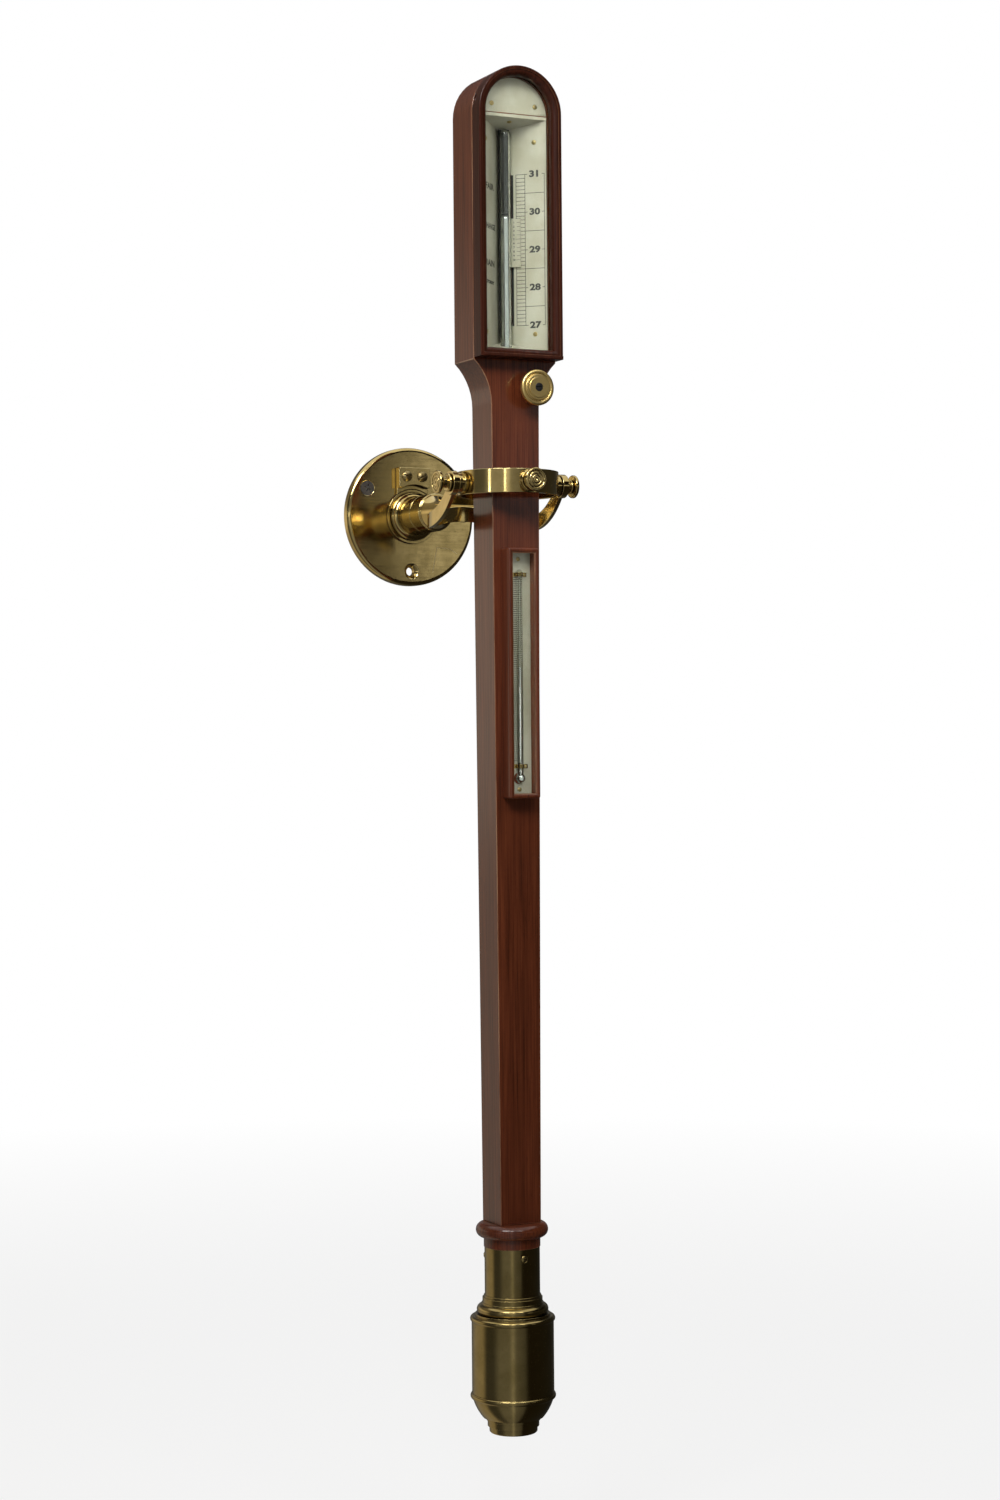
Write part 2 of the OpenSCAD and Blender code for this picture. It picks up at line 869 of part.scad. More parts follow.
// Room for the rack, the stem of the vernier, the pinion, its plate and its arbor
module works_room() {
  translate([rack_back - 0.4, rack_y0 - move_gap, rack_low - rack_down - 2])
    cube([
      rack_x + 1 - rack_back + 0.4,
      board_in - rack_y0 + move_gap + 1,
      stem_high + rack_up - rack_low + rack_down + 4]);
  right_face()
    translate([slot_near - 0.2, scale_t - 0.2, stem_low - rack_down - 1.5])
      cube([slot_far - slot_near + 0.4, 4.2, stem_high - stem_low + rack_up + rack_down + 3]);
  translate([link_x - 0.4, link_y - 0.9, stem_low - rack_down - 1])
    cube([
      rack_x + 1 - link_x + 0.4,
      rack_y0 - link_y + 0.9,
      stem_high - stem_low + rack_up + rack_down + 2]);
  translate([rack_x, rack_y0 - move_gap, knob_z - 5.2])
    cube([pitch_r + 4.8, board_in - rack_y0 + move_gap + 1, 10.4]);
  translate([rack_back - 1.2, works_y - 0.01, knob_z - works_h / 2])
    cube([knob_x + 5 - rack_back + 1.2, board_in - works_y + 1, works_h]);
  translate([knob_x, 0, knob_z])
    rotate([90, 0, 0]) {
      translate([0, 0, -rack_y0])
        cylinder(h = 30, r = arbor_r + 0.4);
      translate([0, 0, half_d - bush_len])
        cylinder(h = bush_len + 5, r = arbor_r + 1.5 + seat_gap);
    }
}

// Holes for the pivot bushes
module bush_room() {
  translate([0, 0, gimbal_rise])
    rotate([90, 0, 0])
      for (s = [0, 1])
        mirror([0, 0, s])
          translate([0, 0, half_depth(gimbal_rise) - bush_len])
            cylinder(h = bush_len + 5, r = bush_r + seat_gap);
}

module name_room() {
  front_on(-half_d - 1, name_t + 1)
    name_outline(seat_gap);
}

module name_outline(grow) {
  intersection() {
    translate([0, spring_z])
      circle(name_r + grow);
    translate([-name_r - 1, name_z - grow])
      square([2 * name_r + 2, 2 * name_r]);
  }
}

// Mortises for the hinge leaves
module hinge_room() {
  for (z = hinge_z)
    translate([leaf_in - seat_gap, -half_d - 1, z - leaf_h / 2 - seat_gap])
      cube([10, leaf_t + 1, leaf_h + 2 * seat_gap]);
}

// Board that closes the tube's channel at the back
module back_board() {
  color("sienna")
    hung()
      difference() {
        intersection() {
          case_solid();
          union() {
            translate([-board_w / 2 + seat_gap, board_in, board_foot + seat_gap])
              cube([board_w - 2 * seat_gap, board_t + 5, board_top - board_foot - 2 * seat_gap]);
            translate([-works_w / 2 + seat_gap, board_in, knob_z - works_h / 2 - 2 + seat_gap])
              cube([works_w - 2 * seat_gap, board_t + 5, works_h + 4 - 2 * seat_gap]);
          }
        }
        bush_room();
        board_screw_places()
          sunk_room(2.2, 1.1, 10);
      }
}

module board_screws() {
  color("darkgoldenrod")
    hung()
      board_screw_places()
        sunk_screw(2.2, 1.1, 10);
}

// Brass bearings for the front and rear pivot screws, let in flush
module pivot_bushes() {
  color("goldenrod")
    hung()
      translate([0, 0, gimbal_rise])
        rotate([90, 0, 0])
          for (s = [0, 1])
            mirror([0, 0, s])
              translate([0, 0, half_depth(gimbal_rise) - bush_len])
                difference() {
                  cylinder(h = bush_len, r = bush_r);
                  translate([0, 0, bush_len - bush_hole])
                    cylinder(h = bush_hole + 1, r = pivot_r + run_fit);
                }
}

// One side of the hollow's lining
module side_plate() {
  behind_front()
    difference() {
      hollow(scale_t, 0);
      translate([0, 0, shoulder_z - 21])
        linear_extrude(head_h + 2)
          vee(0);
      translate([-head_w, -case_d, shoulder_z - 21])
        cube([head_w + 0.6, 2 * case_d, head_h + 2]);
    }
}

module left_plate() {
  color("ivory")
    hung()
      difference() {
        mirror([1, 0, 0])
          side_plate();
        plate_screw_places()
          screw_hole(0.9, 6);
      }
}

// Scale plate with the slot that the vernier's stem runs in
module right_plate() {
  color("ivory")
    hung()
      difference() {
        side_plate();
        right_face()
          translate([slot_near, -1, low_mark_z - 0.5])
            cube([slot_far - slot_near, scale_t + 2, 4 * inch + 1]);
        plate_screw_places()
          screw_hole(0.9, 6);
      }
}

module ceiling_plate() {
  color("ivory")
    hung()
      behind_front()
        difference() {
          hollow(scale_t, scale_t);
          across(head_w)
            hollow_side(0);
          translate([-head_w / 2, -case_d, shoulder_z - 30])
            cube([head_w, 2 * case_d, ceiling_z - shoulder_z - 20]);
          plate_screw_places()
            screw_hole(0.9, 6);
        }
}

module floor_plate() {
  color("ivory")
    hung()
      behind_front()
        difference() {
          hollow(scale_t, scale_t);
          across(head_w)
            hollow_side(0);
          translate([-head_w / 2, -case_d, shoulder_z + 40])
            cube([head_w, 2 * case_d, head_h]);
          translate([0, tube_y, shoulder_z - 20])
            cylinder(h = 60, r = tube_r + 0.3);
          plate_screw_places()
            screw_hole(0.9, 6);
        }
}

// Bare arched plate above the hollow
module name_plate() {
  color("ivory")
    hung()
      difference() {
        front_on(-half_d, name_t)
          name_outline(0);
        plate_screw_places()
          screw_hole(0.9, 6);
      }
}

// Places of the eight screws in the register plates, each with its axis out of the plate
module plate_screw_places() {
  for (s = [-16, 16])
    translate([s, -half_d, name_z + 5.5])
      rotate([90, 0, 0])
        children();
  for (z = [floor_z + 13, ceiling_z - 14], s = [0, 1])
    mirror([s, 0, 0])
      right_face()
        translate([24, 0, z])
          rotate([90, 0, 0])
            children();
  translate([0, -half_d + 6, ceiling_z - ceiling_fall * 6 / recess_d])
    rotate([180 - atan(ceiling_fall / recess_d), 0, 0])
      children();
  translate([0, -half_d + 4.5, floor_z + floor_rise * 4.5 / recess_d])
    rotate([atan(floor_rise / recess_d), 0, 0])
      children();
}

module plate_screws() {
  color("tan")
    hung()
      plate_screw_places()
        slotted(1.6, 0.9, 0.9, 6);
}

// Closed glass tube that stands in the cistern
module barometer_tube() {
  color("lightcyan", 0.5)
    hung()
      translate([0, tube_y, 0])
        rotate_extrude()
          difference() {
            tube_profile(tube_r, tube_top - tube_r);
            translate([0, -1])
              tube_profile(bore_r, tube_top - tube_r + 1);
          }
}

module tube_profile(r, top) {
  translate([0, tube_foot])
    square([r, top - tube_foot]);
  intersection() {
    translate([0, top])
      circle(r);
    translate([0, top])
      square([r, r]);
  }
}

module mercury_column() {
  color("silver")
    hung()
      translate([0, tube_y, 0])
        rotate_extrude()
          tube_profile(bore_r - seat_gap, index_z - 1);
}

// Turned wooden collar between the trunk and the cistern
module foot_collar() {
  color("saddlebrown")
    hung()
      difference() {
        rotate_extrude()
          collar_section();
        translate([0, 0, foot_z - tenon_h - 0.2])
          cylinder(h = tenon_h + 1, r = tenon_r + seat_gap);
        translate([0, tube_y, spigot_z - 1])
          cylinder(h = collar_h + 20, r = channel_r);
        neck_screw_places()
          screw_hole(1.2, 7);
      }
}

module collar_section() {
  translate([0, foot_z - 2 * collar_bead])
    square([collar_r - collar_bead, 2 * collar_bead]);
  translate([collar_r - collar_bead, foot_z - collar_bead])
    circle(collar_bead);
  translate([0, collar_z])
    square([neck_r + 0.4, collar_h - collar_bead]);
  translate([0, spigot_z])
    square([neck_r - spigot_in - seat_gap, 18]);
}

// Cork ring that steadies the tube in the collar
module tube_packing() {
  color("peru")
    hung()
      translate([0, tube_y, spigot_z])
        difference() {
          cylinder(h = 5, r = channel_r - seat_gap);
          translate([0, 0, -1])
            cylinder(h = 7, r = tube_r + seat_gap);
        }
}

module neck_screw_places() {
  for (a = [0, 120, 240])
    rotate([0, 0, a])
      translate([0, -neck_r + neck_seat, collar_z - 6.2])
        rotate([90, 0, 0])
          children();
}

module neck_screws() {
  color("goldenrod")
    hung()
      neck_screw_places()
        translate([0, 0, 0.02])
          slotted(2.2, 1, 1.2, 7);
}

// Turned brass cover of the cistern: neck, mouldings and barrel
module cistern_cover() {
  color("darkgoldenrod")
    hung()
      difference() {
        rotate_extrude()
          difference() {
            cover_outline();
            translate([0, shelf_z - 1])
              square([neck_r - spigot_in, collar_z - shelf_z + 2]);
            translate([0, barrel_foot - 1])
              square([cup_r + 0.2, shelf_z - barrel_foot + 1]);
          }
        neck_screw_places()
          union() {
            screw_hole(1.2, 7);
            cylinder(h = 3, r = 2.2 + 5 * seat_gap);
          }
      }
}

module cover_outline() {
  translate([0, neck_z])
    square([neck_r, neck_h]);
  translate([0, neck_z - 5.5])
    square([neck_r + 1.6, 4.5]);
  translate([0, neck_z - 2])
    square([neck_r + 0.7, 2.5]);
  translate([0, bead_z])
    square([neck_r + 2.2, 11]);
  translate([neck_r + 1.9, neck_z - 9.2])
    circle(3.6);
  translate([0, bead_z])
    square([barrel_r - 2.4, 3.6]);
  translate([0, bead_z])
    square([barrel_r - 1, 2]);
  translate([barrel_r - 1, bead_z])
    circle(2);
  translate([0, barrel_foot])
    square([barrel_r, bead_z - barrel_foot]);
}

// Boxwood cistern cup, open below and closed by the leather
module cistern_cup() {
  color("burlywood")
    hung()
      difference() {
        translate([0, 0, cup_foot])
          cylinder(h = cup_top - cup_foot, r = cup_r);
        translate([0, 0, cup_foot - 1])
          cylinder(h = cup_top - cup_foot - 5, r = pool_r);
        translate([0, tube_y, cup_foot])
          cylinder(h = cup_top - cup_foot + 1, r = tube_r + seat_gap);
      }
}

module cistern_mercury() {
  color("silver")
    hung()
      difference() {
        translate([0, 0, cup_foot])
          cylinder(h = pool_z - cup_foot, r = pool_r - seat_gap);
        translate([0, tube_y, tube_foot])
          cylinder(h = 60, r = tube_r + seat_gap);
      }
}

module cistern_leather() {
  color("tan")
    hung()
      translate([0, 0, cup_foot - leather_t])
        cylinder(h = leather_t, r = cup_r - 0.1);
}

// Disc that the portable screw presses against the leather
module leather_pad() {
  color("burlywood")
    hung()
      translate([0, 0, cup_foot - leather_t - pad_t])
        cylinder(h = pad_t, r = 14);
}

module portable_screw() {
  color("goldenrod")
    hung()
      difference() {
        translate([0, 0, web_foot - 3])
          cylinder(h = cup_foot - leather_t - pad_t - web_foot + 3, r = 4);
        translate([-5, -0.6, web_foot - 4])
          cube([10, 1.2, 2.4]);
      }
}

// Bowl-shaped foot of the cistern, screwed into the barrel
module cistern_base() {
  color("darkgoldenrod")
    hung()
      rotate_extrude()
        difference() {
          base_outline();
          translate([0, web_top])
            square([cup_r - 4, 30]);
          translate([0, web_foot - 1])
            square([4 + seat_gap, 30]);
          translate([0, base_foot - 1])
            square([10 + seat_gap, web_foot - base_foot + 1]);
        }
}

module base_outline() {
  intersection() {
    translate(bowl_mid)
      circle(bowl_r);
    translate([0, bowl_c.y])
      square([40, barrel_foot - bowl_c.y]);
  }
  translate([barrel_r - 0.85, barrel_foot - 2])
    circle(2);
  translate([0, barrel_foot - 4])
    square([barrel_r - 0.85, 4]);
  translate([0, barrel_foot - 1])
    square([cup_r + 0.2 - seat_gap, cup_foot - leather_t - barrel_foot + 1]);
  translate([0, base_foot])
    square([cap_r + 1.2, 8]);
  translate([0, bowl_c.y - 2])
    square([cap_r + 2, 4]);
}

// Cap over the end of the portable screw
module cistern_cap() {
  color("goldenrod")
    hung()
      rotate_extrude()
        difference() {
          union() {
            translate([0, cap_foot + 0.6])
              square([cap_r, base_foot - cap_foot - 0.6]);
            translate([0, cap_foot])
              square([cap_r - 0.6, 2]);
            translate([0, base_foot - 1])
              square([10, web_foot - base_foot + 1]);
          }
          translate([0, base_foot])
            square([6, 20]);
        }
}

// Moulded bar of the thermometer box: outer edge at x = 0, back at y = 0
module therm_bar_section() {
  square([therm_bar, therm_d - 1.6]);
  translate([1.6, 0])
    square([therm_bar - 1.6, therm_d - 0.7]);
  translate([1.6, therm_d - 1.6])
    circle(1.6);
}

// Glazed wooden box of the thermometer
module thermometer_case() {
  color("saddlebrown")
    hung()
      on_trunk(therm_z)
        difference() {
          union() {
            for (s = [0, 1])
              mirror([s, 0, 0])
                translate([-therm_w / 2, 0, -therm_h / 2 + 1.6])
                  linear_extrude(therm_h - 3.2)
                    mirror([0, 1])
                      therm_bar_section();
            for (s = [0, 1])
              mirror([0, 0, s])
                translate([0, 0, -therm_h / 2])
                  across(therm_w - 3.2)
                    rotate(90)
                      therm_bar_section();
            for (s = [-1, 1], t = [-1, 1])
              translate([s * (therm_w / 2 - 1.6), 0, t * (therm_h / 2 - 1.6)])
                rotate([90, 0, 0]) {
                  cylinder(h = therm_d - 1.6, r = 1.6);
                  translate([0, 0, therm_d - 1.6])
                    sphere(1.6);
                }
          }
          translate([-therm_w / 2 + therm_bar - 1.5, -therm_d + therm_lip, -therm_h / 2 + therm_bar - 1.5])
            cube([therm_w - 2 * therm_bar + 3, therm_d, therm_h - 2 * therm_bar + 3]);
        }
}

module thermometer_glass() {
  color("lightcyan", 0.4)
    hung()
      on_trunk(therm_z)
        translate([-therm_w / 2 + therm_bar - 1.4, -therm_d + therm_lip, -therm_h / 2 + therm_bar - 1.4])
          cube([therm_w - 2 * therm_bar + 2.8, 1.5, therm_h - 2 * therm_bar + 2.8]);
}

module thermometer_plate() {
  color("ivory")
    hung()
      on_trunk(therm_z)
        difference() {
          translate([-therm_w / 2 + therm_bar - 1.2, -therm_plate_t, -therm_h / 2 + therm_bar - 1.2])
            cube([therm_w - 2 * therm_bar + 2.4, therm_plate_t, therm_h - 2 * therm_bar + 2.4]);
          translate([0, 1, therm_bulb_z])
            rotate([90, 0, 0])
              cylinder(h = 5, r = therm_bulb_r + 0.8);
          therm_screw_places()
            screw_hole(0.9, 5);
        }
}

module therm_screw_places() {
  for (z = [therm_h / 2 - 7, -therm_h / 2 + 6])
    translate([0, -therm_plate_t, z])
      rotate([90, 0, 0])
        children();
}

module thermometer_tube() {
  color("lightcyan", 0.5)
    hung()
      on_trunk(therm_z)
        translate([0, therm_tube_y, 0])
          rotate_extrude()
            difference() {
              therm_bulb_outline(therm_tube_r, therm_bulb_r, therm_top);
              therm_bulb_outline(0.6, therm_bulb_r - 0.5, therm_top - 6);
            }
}

module therm_bulb_outline(r, bulb, top) {
  intersection() {
    union() {
      translate([0, therm_bulb_z])
        circle(bulb);
      translate([0, therm_bulb_z])
        square([r, top - therm_bulb_z - r]);
      translate([0, top - r])
        circle(r);
    }
    translate([0, -therm_h])
      square([20, 2 * therm_h]);
  }
}

module thermometer_mercury() {
  color("silver")
    hung()
      on_trunk(therm_z)
        translate([0, therm_tube_y, 0])
          rotate_extrude()
            therm_bulb_outline(0.6 - seat_gap, therm_bulb_r - 0.5 - seat_gap, 4);
}

// Brass straps that hold the thermometer tube on its plate
module thermometer_clips() {
  color("goldenrod")
    hung()
      on_trunk(therm_z)
        for (z = clip_z)
          translate([0, 0, z - 1.4])
            difference() {
              union() {
                translate([0, therm_tube_y, 0])
                  cylinder(h = 2.8, r = therm_tube_r + 0.7);
                translate([-6, -therm_plate_t - 0.7, 0])
                  cube([12, 0.7, 2.8]);
              }
              translate([0, therm_tube_y, -1])
                cylinder(h = 5, r = therm_tube_r + 0.05);
              translate([-20, -therm_plate_t, -1])
                cube([40, 20, 5]);
              for (s = [-1, 1])
                translate([s * 4.4, 0, 1.4])
                  rotate([90, 0, 0])
                    cylinder(h = 5, r = 0.5 + seat_gap);
            }
}

module thermometer_screws() {
  color("tan")
    hung()
      on_trunk(therm_z) {
        therm_screw_places()
          slotted(1.5, 0.8, 0.9, 5);
        for (z = clip_z, s = [-1, 1])
          translate([s * 4.4, -therm_plate_t - 0.7, z])
            rotate([90, 0, 0])
              slotted(0.9, 0.5, 0.5, 0.65);
      }
}

// Knuckles of one hinge leaf, kept clear of the other leaf's knuckles
module leaf_set(side) {
  for (z = hinge_z)
    translate([0, 0, z])
      difference() {
        union() {
          translate([leaf_in, side > 0 ? -half_d : door_y - leaf_t, -leaf_h / 2])
            cube([hinge_x - leaf_in, leaf_t, leaf_h]);
          translate([hinge_x, hinge_y, -leaf_h / 2])
            cylinder(h = leaf_h, r = knuckle_r);
        }
        translate([hinge_x, hinge_y, 0])
          knuckle_gaps(side);
        translate([hinge_x, hinge_y, -leaf_h])
          cylinder(h = 2 * leaf_h, r = hinge_pin_r + (side > 0 ? seat_gap : run_fit));
      }
}

module knuckle_gaps(side) {
  cut = leaf_h / 6;
  if (side > 0)
    translate([0, 0, -cut - move_gap / 2])
      cylinder(h = 2 * cut + move_gap, r = knuckle_r + move_gap);
  if (side < 0)
    for (s = [0, 1])
      mirror([0, 0, s])
        translate([0, 0, cut - move_gap / 2])
          cylinder(h = leaf_h, r = knuckle_r + move_gap);
}

module hinge_leaves() {
  color("goldenrod")
    hung()
      leaf_set(1);
}

module hinge_pins() {
  color("goldenrod")
    hung()
      for (z = hinge_z)
        translate([hinge_x, hinge_y, z - leaf_h / 2])
          cylinder(h = leaf_h, r = hinge_pin_r);
}

// Brass bush that the knob's arbor turns in
module knob_bush() {
  color("goldenrod")
    hung()
      translate([knob_x, -half_d, knob_z])
        rotate([90, 0, 0])
          difference() {
            union() {
              cylinder(h = bush_flange_h, r = bush_flange_r);
              translate([0, 0, -bush_len])
                cylinder(h = bush_len, r = arbor_r + 1.5);
            }
            translate([0, 0, -bush_len - 1])
              cylinder(h = bush_len + 5, r = arbor_r + run_fit);
          }
}

// Plate behind the pinion that carries the arbor and backs the rack
module works_plate() {
  color("goldenrod")
    hung()
      difference() {
        translate([rack_back - 1.1, works_y, knob_z - works_h / 2 + 0.1])
          cube([knob_x + 5 - rack_back + 1, works_t, works_h - 0.2]);
        translate([knob_x, 0, knob_z])
          rotate([-90, 0, 0])
            cylinder(h = half_d, r = arbor_r + run_fit);
        works_screw_places()
          screw_hole(0.9, 6);
      }
}

module works_screw_places() {
  for (s = [-1, 1])
    translate([knob_x + 1, works_y + works_t, knob_z + s * 8.3])
      rotate([-90, 0, 0])
        children();
}

module works_screws() {
  color("dimgray")
    hung()
      works_screw_places()
        difference() {
          translate([0, 0, -6])
            cylinder(h = 6, r = 0.9);
          translate([-2, -0.15, -0.4])
            cube([4, 0.3, 1]);
        }
}

// Moulded section of the door frame: outer edge at x = 0, back at y = 0
module frame_section() {
  difference() {
    union() {
      square([2.4, door_t - 0.8]);
      translate([0.8, 0])
        square([1.6, door_t]);
      translate([0.8, door_t - 0.8])
        circle(0.8);
      square([frame_w, door_t - 0.6 - ovolo_r]);
      intersection() {
        translate([2.7, door_t - 0.6 - ovolo_r])
          circle(ovolo_r);
        square([frame_w, door_t]);
      }
      square([2.7, door_t - 0.6]);
    }
    translate([frame_w - rebate_w, -1])
      square([rebate_w + 1, rebate_d + 1]);
  }
}

// Door frame: two stiles, a bottom rail and a half-round head of one moulding
module door_frame() {
  color("saddlebrown")
    hung()
      difference() {
        translate([0, door_y, 0]) {
          for (s = [0, 1])
            mirror([s, 0, 0])
              translate([-head_w / 2, 0, shoulder_z])
                linear_extrude(spring_z - shoulder_z)
                  mirror([0, 1])
                    frame_section();
          translate([0, 0, shoulder_z])
            across(head_w)
              rotate(90)
                frame_section();
          translate([0, 0, spring_z])
            rotate([90, 0, 0])
              rotate_extrude(angle = 180)
                translate([head_w / 2, 0])
                  mirror([1, 0])
                    frame_section();
        }
        for (z = hinge_z)
          translate([leaf_in - seat_gap, door_y - leaf_t, z - leaf_h / 2 - seat_gap])
            cube([10, leaf_t + 1, leaf_h + 2 * seat_gap]);
        translate([-head_w / 2 - 1, door_y - 1.2, spring_z + 4])
          cube([2.4, 2, 7]);
      }
}

module door_glass() {
  color("lightcyan", 0.3)
    hung()
      front_on(door_y - rebate_d, door_glass_t)
        head_outline(frame_w - rebate_w + 0.15);
}

// Slips that hold the glass from behind
module glazing_bead() {
  color("sienna")
    hung()
      front_on(door_y - rebate_d + door_glass_t, rebate_d - door_glass_t - 0.2)
        difference() {
          head_outline(frame_w - rebate_w + seat_gap);
          head_outline(frame_w);
        }
}

module door_leaves() {
  color("goldenrod")
    hung()
      leaf_set(-1);
}

// Sliding vernier plate beside the scale
module vernier_plate() {
  color("ivory")
    hung()
      right_face()
        difference() {
          translate([slot_near + 0.2, -1 - move_gap, index_z - vernier_h])
            cube([vernier_w, 1, vernier_h]);
          for (z = [stem_low + 3, stem_high - 3])
            translate([(slot_near + slot_far) / 2, 1, z])
              rotate([90, 0, 0])
                cylinder(h = 5, r = 0.5 + seat_gap);
        }
}

// Toothed rack with the cranked stem that reaches through the slot
module vernier_rack() {
  color("goldenrod")
    hung() {
      translate([0, rack_y1, 0])
        rotate([90, 0, 0])
          linear_extrude(rack_y1 - rack_y0)
            rack_outline();
      translate([link_x, link_y, stem_low])
        cube([2, rack_y1 - link_y, stem_high - stem_low]);
      difference() {
        right_face()
          translate([slot_near + 0.3, -move_gap, stem_low])
            cube([slot_far - slot_near - 0.6, 4.6 + move_gap, stem_high - stem_low]);
        for (z = [stem_low + 3, stem_high - 3])
          right_face()
            translate([(slot_near + slot_far) / 2, 2, z])
              rotate([90, 0, 0])
                cylinder(h = 5, r = 0.5 + seat_gap);
      }
    }
}

module rack_outline() {
  half = (tooth_pitch / 2 - backlash / 2) / 2;
  tip = half - tooth_m * tan(press);
  root = half + tooth_m * 1.25 * tan(press);
  first = knob_z - (floor((rack_up + 5) / tooth_pitch) + 0.5) * tooth_pitch;
  polygon([
    [rack_back, rack_low],
    [rack_x - tooth_m * 1.25, rack_low],
    for (i = [0:rack_teeth - 1], p = [[-1.25, -root], [1, -tip], [1, tip], [-1.25, root]])
      [rack_x + tooth_m * p.x, first + i * tooth_pitch + p.y],
    [rack_x - tooth_m * 1.25, stem_high],
    [rack_back, stem_high]]);
}

module vernier_rivets() {
  color("tan")
    hung()
      right_face()
        for (z = [stem_low + 3, stem_high - 3])
          translate([(slot_near + slot_far) / 2, 1.8, z])
            rotate([90, 0, 0])
              cylinder(h = 2.8 + move_gap, r = 0.5);
}

// Turned knob with stepped rings
module vernier_knob() {
  color("gold")
    hung()
      translate([knob_x, -half_d, knob_z])
        rotate([90, 0, 0])
          rotate_extrude()
            difference() {
              knob_outline();
              square([arbor_r + seat_gap, knob_h + 1]);
              translate([0, knob_h - 1.2])
                square([2.7 + seat_gap, 4]);
              translate([knob_d / 2 - 2.9, knob_h - 1.1])
                circle(0.7);
            }
}

module knob_outline() {
  low = bush_flange_h + move_gap;
  translate([0, low])
    square([5.5, knob_h - low - 1]);
  translate([0, knob_h - 5.5])
    square([knob_d / 2 - 1.4, 4.2]);
  translate([0, knob_h - 4.1])
    square([knob_d / 2, 1.4]);
  translate([knob_d / 2 - 1.4, knob_h - 4.1])
    circle(1.4);
  translate([knob_d / 2 - 1.4, knob_h - 2.7])
    circle(1.4);
  translate([0, knob_h - 2])
    square([knob_d / 2 - 3.6, 1.2]);
  translate([0, knob_h - 1])
    square([knob_d / 2 - 5.2, 1]);
}

// Arbor with its pinion
module pinion_arbor() {
  color("goldenrod")
    hung()
      translate([knob_x, 0, knob_z])
        rotate([90, 0, 0]) {
          translate([0, 0, -works_y - works_t + 0.2])
            cylinder(h = works_y + works_t - 0.2 + half_d + knob_h - 1.4, r = arbor_r);
          translate([0, 0, -rack_y1])
            linear_extrude(rack_y1 - rack_y0)
              pinion_outline();
        }
}

module pinion_outline() {
  steps = [0.25, 0.5, 0.75, 1];
  base = pitch_r * cos(press);
  tip = pitch_r + tooth_m;
  root = pitch_r - 1.25 * tooth_m;
  rise = [root, base + 0.001, for (s = steps) base + s * (tip - base)];
  half = [for (r = rise) [r, flank(max(r, base + 0.001))]];
  tooth = [for (p = half) [p.x, -p.y], for (j = [len(half) - 1:-1:0]) half[j]];
  polygon([for (i = [0:teeth - 1], p = tooth) polar(p.x, i * 360 / teeth + p.y)]);
}

// Screw in the middle of the knob
module knob_screw() {
  color("dimgray")
    hung()
      translate([knob_x, -half_d - knob_h + 1.2, knob_z])
        rotate([90, 0, 0])
          difference() {
            cylinder(h = 1.5, r = 2.7);
            translate([-4, -0.35, 0.8])
              cube([8, 0.7, 2]);
          }
}

wall_plate();
arm_socket();
socket_bolt();
keeper();
keeper_screws();
yoke();
left_pivot_screw();
right_pivot_screw();
gimbal_ring();
front_pivot_screw();
rear_pivot_screw();
case();
back_board();
board_screws();
pivot_bushes();
left_plate();
right_plate();
ceiling_plate();
floor_plate();
name_plate();
plate_screws();
barometer_tube();
mercury_column();
foot_collar();
tube_packing();
cistern_cover();
neck_screws();
cistern_cup();
cistern_mercury();
cistern_leather();
leather_pad();
portable_screw();
cistern_base();
cistern_cap();
thermometer_case();
thermometer_glass();
thermometer_plate();
thermometer_tube();
thermometer_mercury();
thermometer_clips();
thermometer_screws();
hinge_leaves();
hinge_pins();
knob_bush();
works_plate();
works_screws();
door_frame();
door_glass();
glazing_bead();
door_leaves();
vernier_plate();
vernier_rack();
vernier_rivets();
vernier_knob();
pinion_arbor();
knob_screw();
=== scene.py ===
import bpy
import bmesh
import json
import math
from mathutils import Matrix, Vector
from mathutils.bvhtree import BVHTree
from mathutils.kdtree import KDTree


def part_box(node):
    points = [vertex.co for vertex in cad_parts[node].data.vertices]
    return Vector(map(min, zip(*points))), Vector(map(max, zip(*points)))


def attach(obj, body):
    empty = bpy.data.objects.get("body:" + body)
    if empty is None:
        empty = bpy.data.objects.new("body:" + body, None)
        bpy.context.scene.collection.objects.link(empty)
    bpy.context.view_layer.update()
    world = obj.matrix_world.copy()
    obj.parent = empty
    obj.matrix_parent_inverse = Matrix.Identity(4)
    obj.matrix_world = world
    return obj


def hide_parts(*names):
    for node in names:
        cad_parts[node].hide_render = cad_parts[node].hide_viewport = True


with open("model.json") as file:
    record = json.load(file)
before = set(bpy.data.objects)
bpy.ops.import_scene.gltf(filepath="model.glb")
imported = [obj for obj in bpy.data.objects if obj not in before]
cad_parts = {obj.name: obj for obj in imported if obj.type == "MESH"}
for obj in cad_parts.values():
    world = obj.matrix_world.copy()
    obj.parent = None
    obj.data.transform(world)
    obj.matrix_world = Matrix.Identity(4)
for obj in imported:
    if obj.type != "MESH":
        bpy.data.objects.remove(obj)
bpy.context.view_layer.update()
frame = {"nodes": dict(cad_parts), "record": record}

record = frame["record"]
mm = 0.001
bodyOf = {node: body for body, nodes in record["behaviour"]["bodies"].items() for node in nodes}
slotOf = {part["node"]: part["material_slot"] for part in record["subparts"]}
caseLow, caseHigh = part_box("case")
trunkY = (caseLow.y + caseHigh.y) / 2  # middle of the trunk, front to back
trunkAxis = Vector((0, trunkY, 0))
faceFront = Matrix(((1, 0, 0), (0, 0, 1), (0, -1, 0))).transposed().to_4x4()  # X right, Y up, Z to the front


